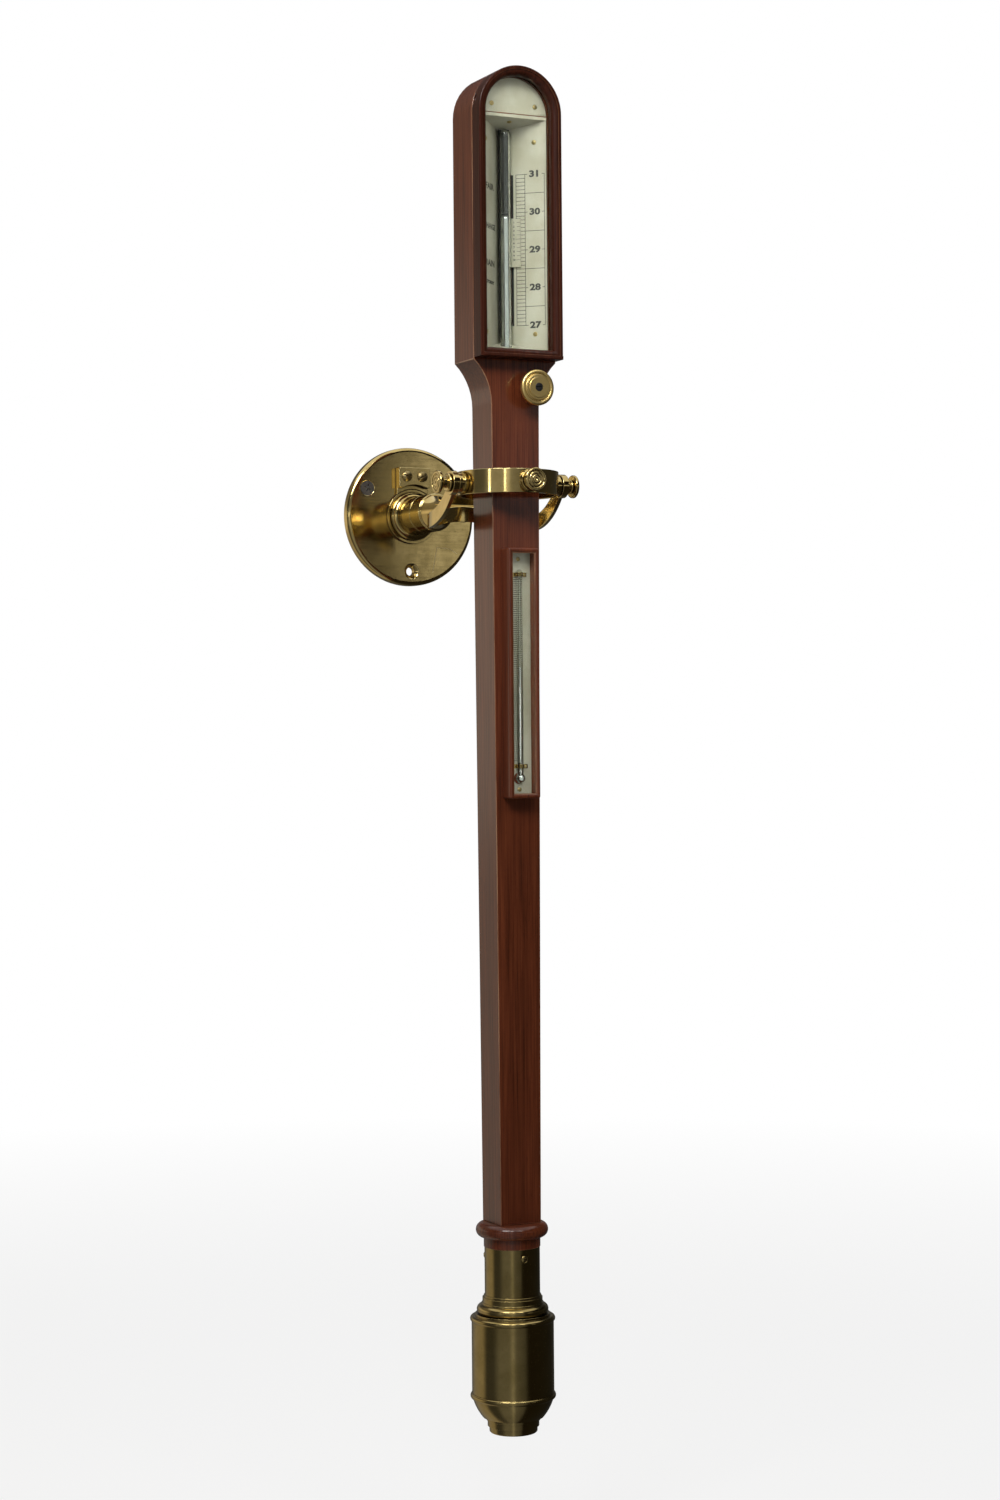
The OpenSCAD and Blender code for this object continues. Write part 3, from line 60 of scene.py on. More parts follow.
# Camera at the photograph's place, a little left of the front and level with the thermometer
cameraPlace = {
    "focalPixels": 2800.0,
    "picturePixels": 1500.0,
    "sensor": 36.0,
    "distance": 1887.0,  # mm from the trunk's axis
    "height": -158.5,
    "azimuth": -26.0,  # degrees, like the rest
    "axisRight": 0.164,  # degrees between the picture's middle and the trunk's axis
    "pitchDown": 0.307,
    "roll": 0.46,
}


def placeCamera(place):
    data = bpy.data.cameras.new("photoCamera")
    data.sensor_width = place["sensor"]
    data.lens = place["focalPixels"] * place["sensor"] / place["picturePixels"]
    camera = bpy.data.objects.new("photoCamera", data)
    turn = math.radians(place["azimuth"])
    reach = place["distance"] * mm
    up = place["height"] * mm
    camera.location = trunkAxis + Vector((math.sin(turn) * reach, -math.cos(turn) * reach, up))
    camera.rotation_euler = (
        math.radians(90 - place["pitchDown"]),
        math.radians(place["roll"]),
        math.radians(place["azimuth"] + place["axisRight"]),
    )
    bpy.context.scene.collection.objects.link(camera)
    bpy.context.scene.camera = camera


placeCamera(cameraPlace)
print("camera placed")


def toLinear(hexColour):
    parts = [int(hexColour[i:i + 2], 16) / 255 for i in (1, 3, 5)]
    return [c / 12.92 if c <= 0.04045 else ((c + 0.055) / 1.055) ** 2.4 for c in parts] + [1.0]


# Pattern scale that gives cells of these millimetres along X, Y and Z
def cellsOf(size):
    return [1 / (side * mm) for side in size]


def addNode(tree, kind, inputs=None, stops=(), **settings):
    node = tree.nodes.new("ShaderNode" + kind)
    for name, value in settings.items():
        setattr(node, name, value)
    for name, value in (inputs or {}).items():
        if isinstance(value, bpy.types.NodeSocket):
            tree.links.new(value, node.inputs[name])
        else:
            node.inputs[name].default_value = value
    for index, (place, hexColour) in enumerate(stops):
        elements = node.color_ramp.elements
        element = elements[index] if index < 2 else elements.new(place)
        element.position = place
        element.color = toLinear(hexColour)
    return node


def startMaterial(name, sockets):
    material = bpy.data.materials.new(name)
    material.use_nodes = True
    tree = material.node_tree
    shader = tree.nodes["Principled BSDF"]
    for socket, value in sockets.items():
        shader.inputs[socket].default_value = value
    return material, tree, shader


# French-polished mahogany: red-brown straight grain and fine dark pores under a thin gloss
mahoganyLook = {
    "streak": (1.1, 1.1, 60.0),  # mm
    "ribbon": (9.0, 9.0, 160.0),
    "pore": (0.3, 0.3, 5.0),  # real pores are finer, drawn this coarse to show
    "patch": (40.0, 40.0, 60.0),  # where the polish is worn or whole
    "poreShare": 0.45, "poreDepth": 0.04,
    "dark": "#4a2212", "mid": "#69321c", "light": "#7d4025", "poreColour": "#2c130a",
    # eased edges: outside ones lighter, as rubbed wear with a painted highlight; inside ones, and the case's
    # behind the glass, darker as painted shade
    "rubbedEdge": "#b08262", "grime": "#1c0d07",
    "rubShare": (0.25, 0.85), "grimeShare": 0.6, "shadeLow": 0.76,
    "glossy": 0.3, "worn": 0.44, "coat": 0.8, "gloss": 0.16, "underCoat": 0.05,
}
# The door's frame is older polish on darker wood, near black in its hollows
doorLook = {**mahoganyLook, "dark": "#2a120a", "mid": "#401d12", "light": "#512718", "rubbedEdge": "#74492f",
            "coat": 0.35, "gloss": 0.22}


def makeMahogany(name, look):
    material, tree, shader = startMaterial(
        name, {"Coat Weight": look["coat"], "Coat Roughness": look["gloss"],
               "Specular IOR Level": look["underCoat"]})
    coords = addNode(tree, "TexCoord").outputs["Object"]
    streakSpace = addNode(tree, "Mapping", {"Vector": coords, "Scale": cellsOf(look["streak"])}).outputs[0]
    streak = addNode(tree, "TexNoise", {"Vector": streakSpace, "Scale": 1.0, "Detail": 5.0, "Roughness": 0.6})
    grain = addNode(tree, "ValToRGB", {"Fac": streak.outputs["Fac"]}, stops=(
        (0.28, look["dark"]), (0.74, look["light"]), (0.5, look["mid"]))).outputs["Color"]
    ribbonSpace = addNode(tree, "Mapping", {"Vector": coords, "Scale": cellsOf(look["ribbon"])}).outputs[0]
    ribbon = addNode(tree, "TexNoise", {"Vector": ribbonSpace, "Scale": 1.0, "Detail": 2.0})
    shade = addNode(tree, "MapRange", {
        "Value": ribbon.outputs["Fac"], "From Min": 0.3, "From Max": 0.7,
        "To Min": look["shadeLow"], "To Max": 1.0})
    figured = addNode(tree, "Mix", {
        0: 1.0, 6: grain, 7: shade.outputs[0]}, data_type="RGBA", blend_type="MULTIPLY")
    poreSpace = addNode(tree, "Mapping", {"Vector": coords, "Scale": cellsOf(look["pore"])}).outputs[0]
    poreNoise = addNode(tree, "TexNoise", {"Vector": poreSpace, "Scale": 1.0, "Detail": 2.0})
    pores = addNode(tree, "MapRange", {
        "Value": poreNoise.outputs["Fac"], "From Min": 0.62, "From Max": 0.72,
        "To Min": 0.0, "To Max": look["poreShare"]})
    pored = addNode(tree, "Mix", {
        0: pores.outputs[0], 6: figured.outputs[2], 7: toLinear(look["poreColour"])}, data_type="RGBA")
    rubSpace = addNode(tree, "Mapping", {"Vector": coords, "Scale": cellsOf(look["patch"])}).outputs[0]
    rubbed = addNode(tree, "TexNoise", {"Vector": rubSpace, "Scale": 1.0, "Detail": 4.0})
    # Outside eased edges lighter, as rubbed wear with a painted highlight
    edge = addNode(tree, "Attribute", attribute_name="edgeWear").outputs["Fac"]
    wornShare = addNode(tree, "MapRange", {
        "Value": rubbed.outputs["Fac"], "From Min": 0.4, "From Max": 0.6,
        "To Min": look["rubShare"][0], "To Max": look["rubShare"][1]})
    worn = addNode(tree, "Math", {0: edge, 1: wornShare.outputs[0]}, operation="MULTIPLY", use_clamp=True)
    woodRubbedAndHighlit = addNode(tree, "Mix", {
        0: worn.outputs[0], 6: pored.outputs[2], 7: toLinear(look["rubbedEdge"])}, data_type="RGBA")
    # Painted shade: inside eased edges, and the case's edges behind the glass, darker
    paintedShadeMask = addNode(tree, "MapRange", {
        "Value": edge, "From Min": 0.0, "From Max": -1.0, "To Max": look["grimeShare"]})
    colour = addNode(tree, "Mix", {
        0: paintedShadeMask.outputs[0], 6: woodRubbedAndHighlit.outputs[2], 7: toLinear(look["grime"])}, data_type="RGBA")
    tree.links.new(colour.outputs[2], shader.inputs["Base Color"])
    polish = addNode(tree, "MapRange", {
        "Value": rubbed.outputs["Fac"], "From Min": 0.35, "From Max": 0.7,
        "To Min": look["glossy"], "To Max": look["worn"]})
    tree.links.new(polish.outputs[0], shader.inputs["Roughness"])
    relief = addNode(tree, "Bump", {
        "Height": pores.outputs[0], "Strength": 1.0, "Distance": -look["poreDepth"] * mm})
    tree.links.new(relief.outputs[0], shader.inputs["Normal"])
    return material


# What all the brass shares: clouds and spots in mm, share of lighter rubbed edges, wear with a painted
# highlight, and of painted shade in corners and between parts
brassPattern = {"cloud": (16.0, 16.0, 16.0), "spot": (1.3, 1.3, 1.3), "wornShare": 0.7, "grimeShare": 0.85}
# Hand-polished cast brass: pale gold mirror, faint olive clouds, level rubbing marks
polishedBrassLook = {
    "bright": "#ceb679", "tarnish": "#bca569", "spot": "#7f6c3d", "rubbedEdge": "#e2cf95",
    "grime": "#2e2410", "cornerReach": 3.0,
    "smooth": 0.08, "dull": 0.16, "rub": (30.0, 30.0, 1.2), "marks": 0.0015,
}
# Aged turned brass: darker olive gold with fine turning lines round it
agedBrassLook = {
    "bright": "#a3905f", "tarnish": "#917f4f", "spot": "#5c4e2d", "rubbedEdge": "#cbb680",
    "grime": "#2a2110", "cornerReach": 2.0,
    "smooth": 0.14, "dull": 0.24, "rub": (40.0, 40.0, 0.5), "marks": 0.006,
}
# Satin turned brass: soft pale gold without mirror, as on a handled knob
satinBrassLook = {
    "bright": "#efd28a", "tarnish": "#dcbd74", "spot": "#977c42", "rubbedEdge": "#ead398",
    "grime": "#4a3a1c", "cornerReach": 1.5,
    "smooth": 0.3, "dull": 0.42, "rub": (1.0, 30.0, 1.0), "marks": 0.006,
}
# Dull drawn brass: small screw heads gone brown in their slots
dullBrassLook = {
    "bright": "#a89668", "tarnish": "#837349", "spot": "#3d3118", "rubbedEdge": "#c9b686",
    "grime": "#1c150a", "cornerReach": 1.0,
    "smooth": 0.25, "dull": 0.45, "rub": (3.0, 3.0, 0.4), "marks": 0.006,
}


def makeBrass(name, look, pattern=brassPattern):
    material, tree, shader = startMaterial(name, {"Metallic": 1.0})
    coords = addNode(tree, "TexCoord").outputs["Object"]
    cloudSpace = addNode(tree, "Mapping", {"Vector": coords, "Scale": cellsOf(pattern["cloud"])}).outputs[0]
    clouds = addNode(tree, "TexNoise", {"Vector": cloudSpace, "Scale": 1.0, "Detail": 5.0, "Roughness": 0.6})
    tone = addNode(tree, "ValToRGB", {"Fac": clouds.outputs["Fac"]}, stops=(
        (0.34, look["tarnish"]), (0.62, look["bright"]))).outputs["Color"]
    spotSpace = addNode(tree, "Mapping", {"Vector": coords, "Scale": cellsOf(pattern["spot"])}).outputs[0]
    spotNoise = addNode(tree, "TexNoise", {
        "Vector": spotSpace, "Scale": 1.0, "Detail": 4.0, "Roughness": 0.65})
    spots = addNode(tree, "MapRange", {"Value": spotNoise.outputs["Fac"], "From Min": 0.62, "From Max": 0.78})
    spotted = addNode(tree, "Mix", {
        0: spots.outputs[0], 6: tone, 7: toLinear(look["spot"])}, data_type="RGBA")
    # Eased outside edges lighter, as rubbed wear with a painted highlight
    edge = addNode(tree, "Attribute", attribute_name="edgeWear").outputs["Fac"]
    worn = addNode(tree, "MapRange", {"Value": edge, "To Max": pattern["wornShare"]})
    brassRubbedAndHighlit = addNode(tree, "Mix", {
        0: worn.outputs[0], 6: spotted.outputs[2], 7: toLinear(look["rubbedEdge"])}, data_type="RGBA")
    # Painted shade: darker where other surfaces come near, in corners and between parts
    corner = addNode(tree, "AmbientOcclusion", {"Distance": look["cornerReach"] * mm}, samples=6)
    paintedShadeMask = addNode(tree, "MapRange", {
        "Value": corner.outputs["AO"], "From Min": 0.75, "From Max": 0.35,
        "To Min": 0.0, "To Max": pattern["grimeShare"]})
    colour = addNode(tree, "Mix", {
        0: paintedShadeMask.outputs[0], 6: brassRubbedAndHighlit.outputs[2], 7: toLinear(look["grime"])}, data_type="RGBA")
    tree.links.new(colour.outputs[2], shader.inputs["Base Color"])
    rubSpace = addNode(tree, "Mapping", {"Vector": coords, "Scale": cellsOf(look["rub"])}).outputs[0]
    rubbed = addNode(tree, "TexNoise", {"Vector": rubSpace, "Scale": 1.0, "Detail": 3.0, "Roughness": 0.6})
    wear = addNode(tree, "Mix", {
        0: 0.4, 2: clouds.outputs["Fac"], 3: rubbed.outputs["Fac"]}, data_type="FLOAT")
    sheen = addNode(tree, "MapRange", {
        "Value": wear.outputs[0], "From Min": 0.36, "From Max": 0.62,
        "To Min": look["dull"], "To Max": look["smooth"]})
    tree.links.new(sheen.outputs[0], shader.inputs["Roughness"])
    relief = addNode(tree, "Bump", {
        "Height": rubbed.outputs["Fac"], "Strength": 1.0, "Distance": look["marks"] * mm})
    tree.links.new(relief.outputs[0], shader.inputs["Normal"])
    return material


# Satin ivorine sheet: pale yellow-grey, faint age stains and fine flecks along its grain
ivorineLook = {
    "stain": (22.0, 22.0, 30.0), "fleck": (0.8, 0.8, 2.5), "fleckShare": 0.7, "fleckDepth": 0.01,
    "rough": 0.42,
    "aged": "#8d8977", "clean": "#9c998a", "fleckColour": "#787461",
}


def makeIvorine(name, look):
    material, tree, shader = startMaterial(name, {"Roughness": look["rough"]})
    coords = addNode(tree, "TexCoord").outputs["Object"]
    stainSpace = addNode(tree, "Mapping", {"Vector": coords, "Scale": cellsOf(look["stain"])}).outputs[0]
    stain = addNode(tree, "TexNoise", {"Vector": stainSpace, "Scale": 1.0, "Detail": 5.0, "Roughness": 0.62})
    tone = addNode(tree, "ValToRGB", {"Fac": stain.outputs["Fac"]}, stops=(
        (0.36, look["aged"]), (0.62, look["clean"]))).outputs["Color"]
    fleckSpace = addNode(tree, "Mapping", {"Vector": coords, "Scale": cellsOf(look["fleck"])}).outputs[0]
    fleckNoise = addNode(tree, "TexNoise", {"Vector": fleckSpace, "Scale": 1.0, "Detail": 3.0})
    flecks = addNode(tree, "MapRange", {
        "Value": fleckNoise.outputs["Fac"], "From Min": 0.64, "From Max": 0.8, "To Max": look["fleckShare"]})
    colour = addNode(tree, "Mix", {
        0: flecks.outputs[0], 6: tone, 7: toLinear(look["fleckColour"])}, data_type="RGBA")
    tree.links.new(colour.outputs[2], shader.inputs["Base Color"])
    relief = addNode(tree, "Bump", {
        "Height": flecks.outputs[0], "Strength": 1.0, "Distance": -look["fleckDepth"] * mm})
    tree.links.new(relief.outputs[0], shader.inputs["Normal"])
    return material


# Clear glass: shows what is behind it and lets the lamps through
def makeGlass(name, tint, index):
    material, tree, shader = startMaterial(
        name, {"Base Color": toLinear(tint), "Roughness": 0.0, "IOR": index, "Transmission Weight": 1.0})
    shadowRay = addNode(tree, "LightPath").outputs["Is Shadow Ray"]
    clear = addNode(tree, "BsdfTransparent", {"Color": toLinear(tint)})
    mixed = addNode(tree, "MixShader", {0: shadowRay, 1: shader.outputs[0], 2: clear.outputs[0]})
    tree.links.new(mixed.outputs[0], tree.nodes["Material Output"].inputs["Surface"])
    return material


# Materials that show little or lie inside: two tones, mottle in mm, roughness, metal and relief in mm
mottledLooks = {
    # blued steel screw: near-black metal with a soft sheen
    "bluedSteel": ("#3a3a3c", "#5a5a5a", (2.0, 2.0, 2.0), 0.36, 1.0, 0.01),
    # zinc-plated steel: dull grey crystals, the one modern screw
    "zincPlatedSteel": ("#77797a", "#98999a", (1.5, 1.5, 1.5), 0.34, 1.0, 0.01),
    # turned boxwood: close yellow grain
    "turnedBoxwood": ("#9a7d4c", "#b3975f", (2.0, 2.0, 30.0), 0.5, 0.0, 0.02),
    # cut cork: open brown crumbs
    "cutCork": ("#7d5a38", "#a98355", (2.0, 2.0, 2.0), 0.85, 0.0, 0.2),
    # liquid mercury: grey mirror, dulled by the film on an old tube
    "liquidMercury": ("#b9bcbd", "#d2d5d6", (1.2, 1.2, 14.0), 0.12, 1.0, 0.0),
    # oil-tanned leather: soft tan with a fine pebble
    "tannedLeather": ("#a98f6d", "#c2aa86", (1.0, 1.0, 1.0), 0.7, 0.0, 0.1),
    # engraver's black wax: flat black filling of cut lines
    "blackWax": ("#151514", "#272623", (0.6, 0.6, 0.6), 0.5, 0.0, 0.005),
    # scratched brass: pale torn metal that scatters the light
    "scratchedBrass": ("#e6d3a0", "#f2e4ba", (0.5, 0.5, 0.5), 0.55, 1.0, 0.0),
    # black for painted shade: dull black that gives back next to no light, put behind the tube, along the
    # slot and in the tube's empty end
    "lampblackPaint": ("#0d0e0d", "#181917", (1.5, 1.5, 6.0), 0.9, 0.0, 0.01),
}


def makeMottled(name, first, second, size, rough, metal, depth):
    material, tree, shader = startMaterial(name, {"Roughness": rough, "Metallic": metal})
    coords = addNode(tree, "TexCoord").outputs["Object"]
    space = addNode(tree, "Mapping", {"Vector": coords, "Scale": cellsOf(size)}).outputs[0]
    mottle = addNode(tree, "TexNoise", {"Vector": space, "Scale": 1.0, "Detail": 4.0, "Roughness": 0.6})
    tone = addNode(tree, "ValToRGB", {"Fac": mottle.outputs["Fac"]}, stops=((0.32, first), (0.68, second)))
    tree.links.new(tone.outputs["Color"], shader.inputs["Base Color"])
    relief = addNode(tree, "Bump", {"Height": mottle.outputs["Fac"], "Strength": 1.0, "Distance": depth * mm})
    tree.links.new(relief.outputs[0], shader.inputs["Normal"])
    return material


mottled = {name: makeMottled(name, *look) for name, look in mottledLooks.items()}
doorMahogany = makeMahogany("darkPolishedMahogany", doorLook)
finishes = {
    "polished_brass": makeBrass("handPolishedBrass", polishedBrassLook),
    "aged_brass": makeBrass("agedTurnedBrass", agedBrassLook),
    "gilt_brass": makeBrass("satinTurnedBrass", satinBrassLook),
    "pale_screws": makeBrass("dullDrawnBrass", dullBrassLook),
    "dark_steel": mottled["bluedSteel"],
    "mahogany": makeMahogany("frenchPolishedMahogany", mahoganyLook),
    "boxwood": mottled["turnedBoxwood"],
    "cork": mottled["cutCork"],
    "ivorine": makeIvorine("satinIvorine", ivorineLook),
    "clear_glass": makeGlass("clearSheetGlass", "#f6f8f4", 1.12),  # low index: a pane without glare
    "mercury": mottled["liquidMercury"],
    "white_leather": mottled["tannedLeather"],
}
print("materials made:", len(bpy.data.materials))


def meshPiece(name, bm, material, sharpAngle=35.0):
    limit = math.radians(sharpAngle)
    for face in bm.faces:
        face.smooth = True
    for edge in bm.edges:
        edge.smooth = len(edge.link_faces) == 2 and edge.calc_face_angle(0.0) < limit
    mesh = bpy.data.meshes.new(name)
    bm.to_mesh(mesh)
    bm.free()
    mesh.materials.append(material)
    piece = bpy.data.objects.new(name, mesh)
    bpy.context.scene.collection.objects.link(piece)
    return piece


def pieceName(start, nodeName):
    return start + "".join(word.capitalize() for word in nodeName.split("_"))


# Nail nick in the door's left edge, scooped out near the top
nailNick = {
    "height": 263.5, "behindFront": 8.2, "long": 5.6, "wide": 2.4, "deep": 1.4,
    "segments": 24, "rings": 12,
}


def cutNailNick(doorMesh, nick):
    low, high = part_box("door_frame")
    radius = (high.x - low.x) / 2
    rise = nick["height"] * mm - (high.z - radius)  # above the middle of the arch
    lean = math.asin(rise / radius)
    place = Vector((-radius * math.cos(lean), low.y + nick["behindFront"] * mm, nick["height"] * mm))
    size = Matrix.Diagonal((nick["deep"] * mm, nick["wide"] / 2 * mm, nick["long"] / 2 * mm, 1))
    bm = bmesh.new()
    bmesh.ops.create_uvsphere(bm, u_segments=nick["segments"], v_segments=nick["rings"], radius=1.0,
                              matrix=Matrix.Translation(place) @ Matrix.Rotation(lean, 4, "Y") @ size)
    scoop = meshPiece("scoop", bm, doorMahogany)
    door = meshPiece("uncutDoor", doorMesh.copy(), doorMahogany)
    cut = door.modifiers.new("nailNick", "BOOLEAN")
    cut.object = scoop
    cut.operation = "DIFFERENCE"
    bpy.context.view_layer.update()
    nicked = bpy.data.meshes.new_from_object(door.evaluated_get(bpy.context.evaluated_depsgraph_get()))
    doorMesh.clear()
    doorMesh.from_mesh(nicked)
    for spare in (scoop.data, door.data, nicked):
        bpy.data.meshes.remove(spare)


# Skin of a finished node: lengths in mm, angles in degrees
finishing = {
    "merge": 0.002,
    "flatAngle": 0.5,
    "hardAngle": 40.0,
    "sharpAngle": 50.0,
    "segments": 2,
    "stray": 0.45,  # share of the ease by which an eased corner may leave the CAD's surface
    "strayReach": 2,  # eases from a stray corner within which edges stay sharp
    "attempts": 5,
    "shaded": -0.5,  # painted shade on the case's edges behind the glass, dark instead of rubbed
}


# Eases the hard edges in a copy, and leaves sharp those at a step or mitre too tight for it
def easeEdges(bm, ease, limits):
    bm.edges.index_update()
    bm.edges.ensure_lookup_table()
    surface = BVHTree.FromBMesh(bm)
    corners = KDTree(len(bm.verts))
    for index, vert in enumerate(bm.verts):
        vert.index = index
        corners.insert(vert.co, index)
    corners.balance()
    bend = math.radians(limits["hardAngle"])
    hard = [edge.index for edge in bm.edges if edge.is_manifold and edge.calc_face_angle() > bend]
    for attempt in range(limits["attempts"]):
        if attempt:
            trial.free()
        trial = bm.copy()
        trial.edges.ensure_lookup_table()
        eased = bmesh.ops.bevel(trial, geom=[trial.edges[index] for index in hard], offset=ease,
                                offset_type="OFFSET", affect="EDGES", segments=limits["segments"],
                                profile=0.5, material=-1, loop_slide=False, face_strength_mode="ALL")
        strays = set()
        for vert in trial.verts:
            if surface.find_nearest(vert.co)[3] > ease * limits["stray"]:
                strays.add(corners.find(vert.co)[1])
                nearby = corners.find_range(vert.co, limits["strayReach"] * ease)
                strays.update(index for place, index, distance in nearby)
        if not strays:
            break
        hard = [index for index in hard
                if not strays.intersection(vert.index for vert in bm.edges[index].verts)]
    wear = trial.faces.layers.float["edgeWear"]
    for face in eased["faces"]:
        outward = sum(edge.calc_face_angle_signed(0.0) for edge in face.edges)
        face[wear] = 1.0 if outward > 0 else -1.0  # rubbed outside edges, lighter as wear with a painted highlight; painted shade in inside ones
    bm.free()
    return trial


# A finished copy of a CAD node: one skin, smooth on its curves, with its edges eased and marked as worn and
# lit: outside ones lighter, as wear with a painted highlight, inside ones as painted shade
def dressNode(nodeName, ease, material, skin):
    bm = bmesh.new()
    bm.from_mesh(frame["nodes"][nodeName].data)
    bmesh.ops.remove_doubles(bm, verts=bm.verts, dist=skin["merge"] * mm)
    if nodeName == "door_frame":
        cutNailNick(bm, nailNick)
    flat = math.radians(skin["flatAngle"])
    bmesh.ops.dissolve_limit(bm, angle_limit=flat, verts=bm.verts, edges=bm.edges)
    wide = [face for face in bm.faces if len(face.verts) > 4]
    bmesh.ops.triangulate(bm, faces=wide, quad_method="BEAUTY", ngon_method="BEAUTY")
    bm.faces.layers.float.new("edgeWear")
    if ease:
        bm = easeEdges(bm, ease * mm, skin)
    # Painted shade on the case's outer edges behind the glass, in place of their rubbed lighter tone
    if nodeName == "case":
        low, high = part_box("floor_plate")[0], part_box("glazing_bead")[1]
        wear = bm.faces.layers.float["edgeWear"]
        for face in bm.faces:
            centre = face.calc_center_median()
            if face[wear] > 0 and centre.y < trunkY and centre.z > low.z and abs(centre.x) < high.x:
                face[wear] = skin["shaded"]
    piece = meshPiece(pieceName("finished", nodeName), bm, material, skin["sharpAngle"])
    if ease:
        shading = piece.modifiers.new("evenShading", "WEIGHTED_NORMAL")
        shading.keep_sharp = True
        shading.use_face_influence = True  # flat faces stay flat up to their eased edges
    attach(piece, bodyOf[nodeName])
    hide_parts(nodeName)


# Eased edges in mm, for each node that shows
easedEdges = {
    "wall_plate": 0.4, "arm_socket": 0.2, "keeper": 0.4, "keeper_screws": 0.12, "yoke": 0.35,
    "left_pivot_screw": 0.1, "right_pivot_screw": 0.1, "front_pivot_screw": 0.1, "rear_pivot_screw": 0.1,
    "gimbal_ring": 0.35, "case": 0.5, "back_board": 0.2, "board_screws": 0.05, "pivot_bushes": 0.05,
    "left_plate": 0.0, "right_plate": 0.0, "ceiling_plate": 0.05, "floor_plate": 0.05, "name_plate": 0.0,
    "plate_screws": 0.06, "foot_collar": 0.25, "cistern_cover": 0.15, "neck_screws": 0.08,
    "cistern_base": 0.15, "cistern_cap": 0.3, "thermometer_case": 0.25, "thermometer_plate": 0.08,
    "thermometer_clips": 0.06, "thermometer_screws": 0.05, "hinge_leaves": 0.06, "hinge_pins": 0.1,
    "knob_bush": 0.1, "door_frame": 0.25, "glazing_bead": 0.1, "door_leaves": 0.06, "vernier_plate": 0.08,
    "vernier_knob": 0.15, "knob_screw": 0.1, "mercury_column": 0.0, "thermometer_mercury": 0.0,
    "barometer_tube": 0.0, "thermometer_tube": 0.0, "door_glass": 0.0, "thermometer_glass": 0.0,
}
tubeGlass = makeGlass("drawnTubeGlass", "#f2f5f1", 1.47)  # bends the view, so that the bore fills the tube
ownFinish = {
    "door_frame": doorMahogany, "glazing_bead": doorMahogany,
    "barometer_tube": tubeGlass, "thermometer_tube": tubeGlass,
}


def dressNodes(edges):
    for nodeName, node in frame["nodes"].items():
        finish = ownFinish.get(nodeName, finishes[slotOf[nodeName]])
        if nodeName in edges:
            dressNode(nodeName, edges[nodeName], finish, finishing)
        else:
            node.data.materials.clear()
            node.data.materials.append(finish)


dressNodes(easedEdges)
print("nodes dressed:", len(easedEdges))


def addBar(bm, matrix, width, height, thick):
    size = Matrix.Diagonal((width * mm, height * mm, thick * mm, 1))
    bmesh.ops.create_cube(bm, size=1.0, matrix=matrix @ size)


lettering = {"figureShare": 0.7, "thick": 0.04, "steps": 3}  # a figure's share of the type's size


# Figures and words from the built-in type, centred on the matrix
def addText(bm, text, height, matrix, stretch, weight):
    curve = bpy.data.curves.new("lettering", "FONT")
    curve.body = text
    curve.size = height / lettering["figureShare"] * mm
    curve.align_x = "CENTER"
    curve.align_y = "CENTER"
    curve.offset = weight * mm
    curve.extrude = lettering["thick"] / 2 * mm
    curve.resolution_u = lettering["steps"]
    shown = bpy.data.objects.new("lettering", curve)
    bpy.context.scene.collection.objects.link(shown)
    bpy.context.view_layer.update()
    mesh = bpy.data.meshes.new_from_object(shown.evaluated_get(bpy.context.evaluated_depsgraph_get()))
    mesh.transform(matrix @ Matrix.Diagonal((stretch, 1, 1, 1)))
    bm.from_mesh(mesh)
    bpy.data.meshes.remove(mesh)
    bpy.data.objects.remove(shown)
    bpy.data.curves.remove(curve)


def markPiece(name, bm, body, material):
    piece = meshPiece(name, bm, material, 20.0)
    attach(piece, body)


# Register: lines and figures on the two plates that stand in a V
register = {
    "apexBack": 6.1,  # mm from the trunk's middle to where the plates would meet
    "turn": 41.59,  # degrees between each plate and the front
    "lowMark": 117.2,
    "inch": 25.4,
    "lowInch": 27,
    "inches": 4,
    "ladder": (11.3, 17.5),  # mm along the plate from the apex
    "border": 31.0,
    "numeralAt": 24.2,
    "numeralHeight": 4.1,
    "numeralStretch": 1.28,
    "numeralWeight": 0.26,
    "dash": 1.8,
    "line": 0.36,
    "relief": 0.04,
}


# Place on a register plate: X along the plate, left to right, Y up and Z out of it
def onPlate(plates, along, up, lift=0.0, left=False):
    turn = math.radians(plates["turn"])
    side = -1 if left else 1
    run = Vector((side * math.cos(turn), -math.sin(turn), 0))
    out = Vector((-side * math.sin(turn), -math.cos(turn), 0))
    place = trunkAxis + Vector((0, plates["apexBack"], up)) * mm + run * along * mm + out * lift * mm
    across = -run if left else run
    return Matrix.Translation(place) @ Matrix((across, (0, 0, 1), out)).transposed().to_4x4()


def makeScaleLines(plates):
    bm = bmesh.new()
    near, far = plates["ladder"]
    border, line, relief = plates["border"], plates["line"], plates["relief"]
    tall = plates["inches"] * plates["inch"]
    centre = plates["lowMark"] + tall / 2
    for along in (near, far, border):
        addBar(bm, onPlate(plates, along, centre), line, tall + line, relief)
    for tenth in range(plates["inches"] * 10 + 1):
        up = plates["lowMark"] + tenth * plates["inch"] / 10
        addBar(bm, onPlate(plates, (near + far) / 2, up), far - near, line, relief)
        if tenth % 10 == 5:
            addBar(bm, onPlate(plates, (far + border) / 2, up), border - far, line, relief)
        elif tenth % 10 == 0:
            dash = plates["dash"]
            addBar(bm, onPlate(plates, far + dash / 2, up), dash, line, relief)
            addBar(bm, onPlate(plates, border - dash / 2, up), dash, line, relief)
    markPiece("scaleLines", bm, "case", mottled["blackWax"])


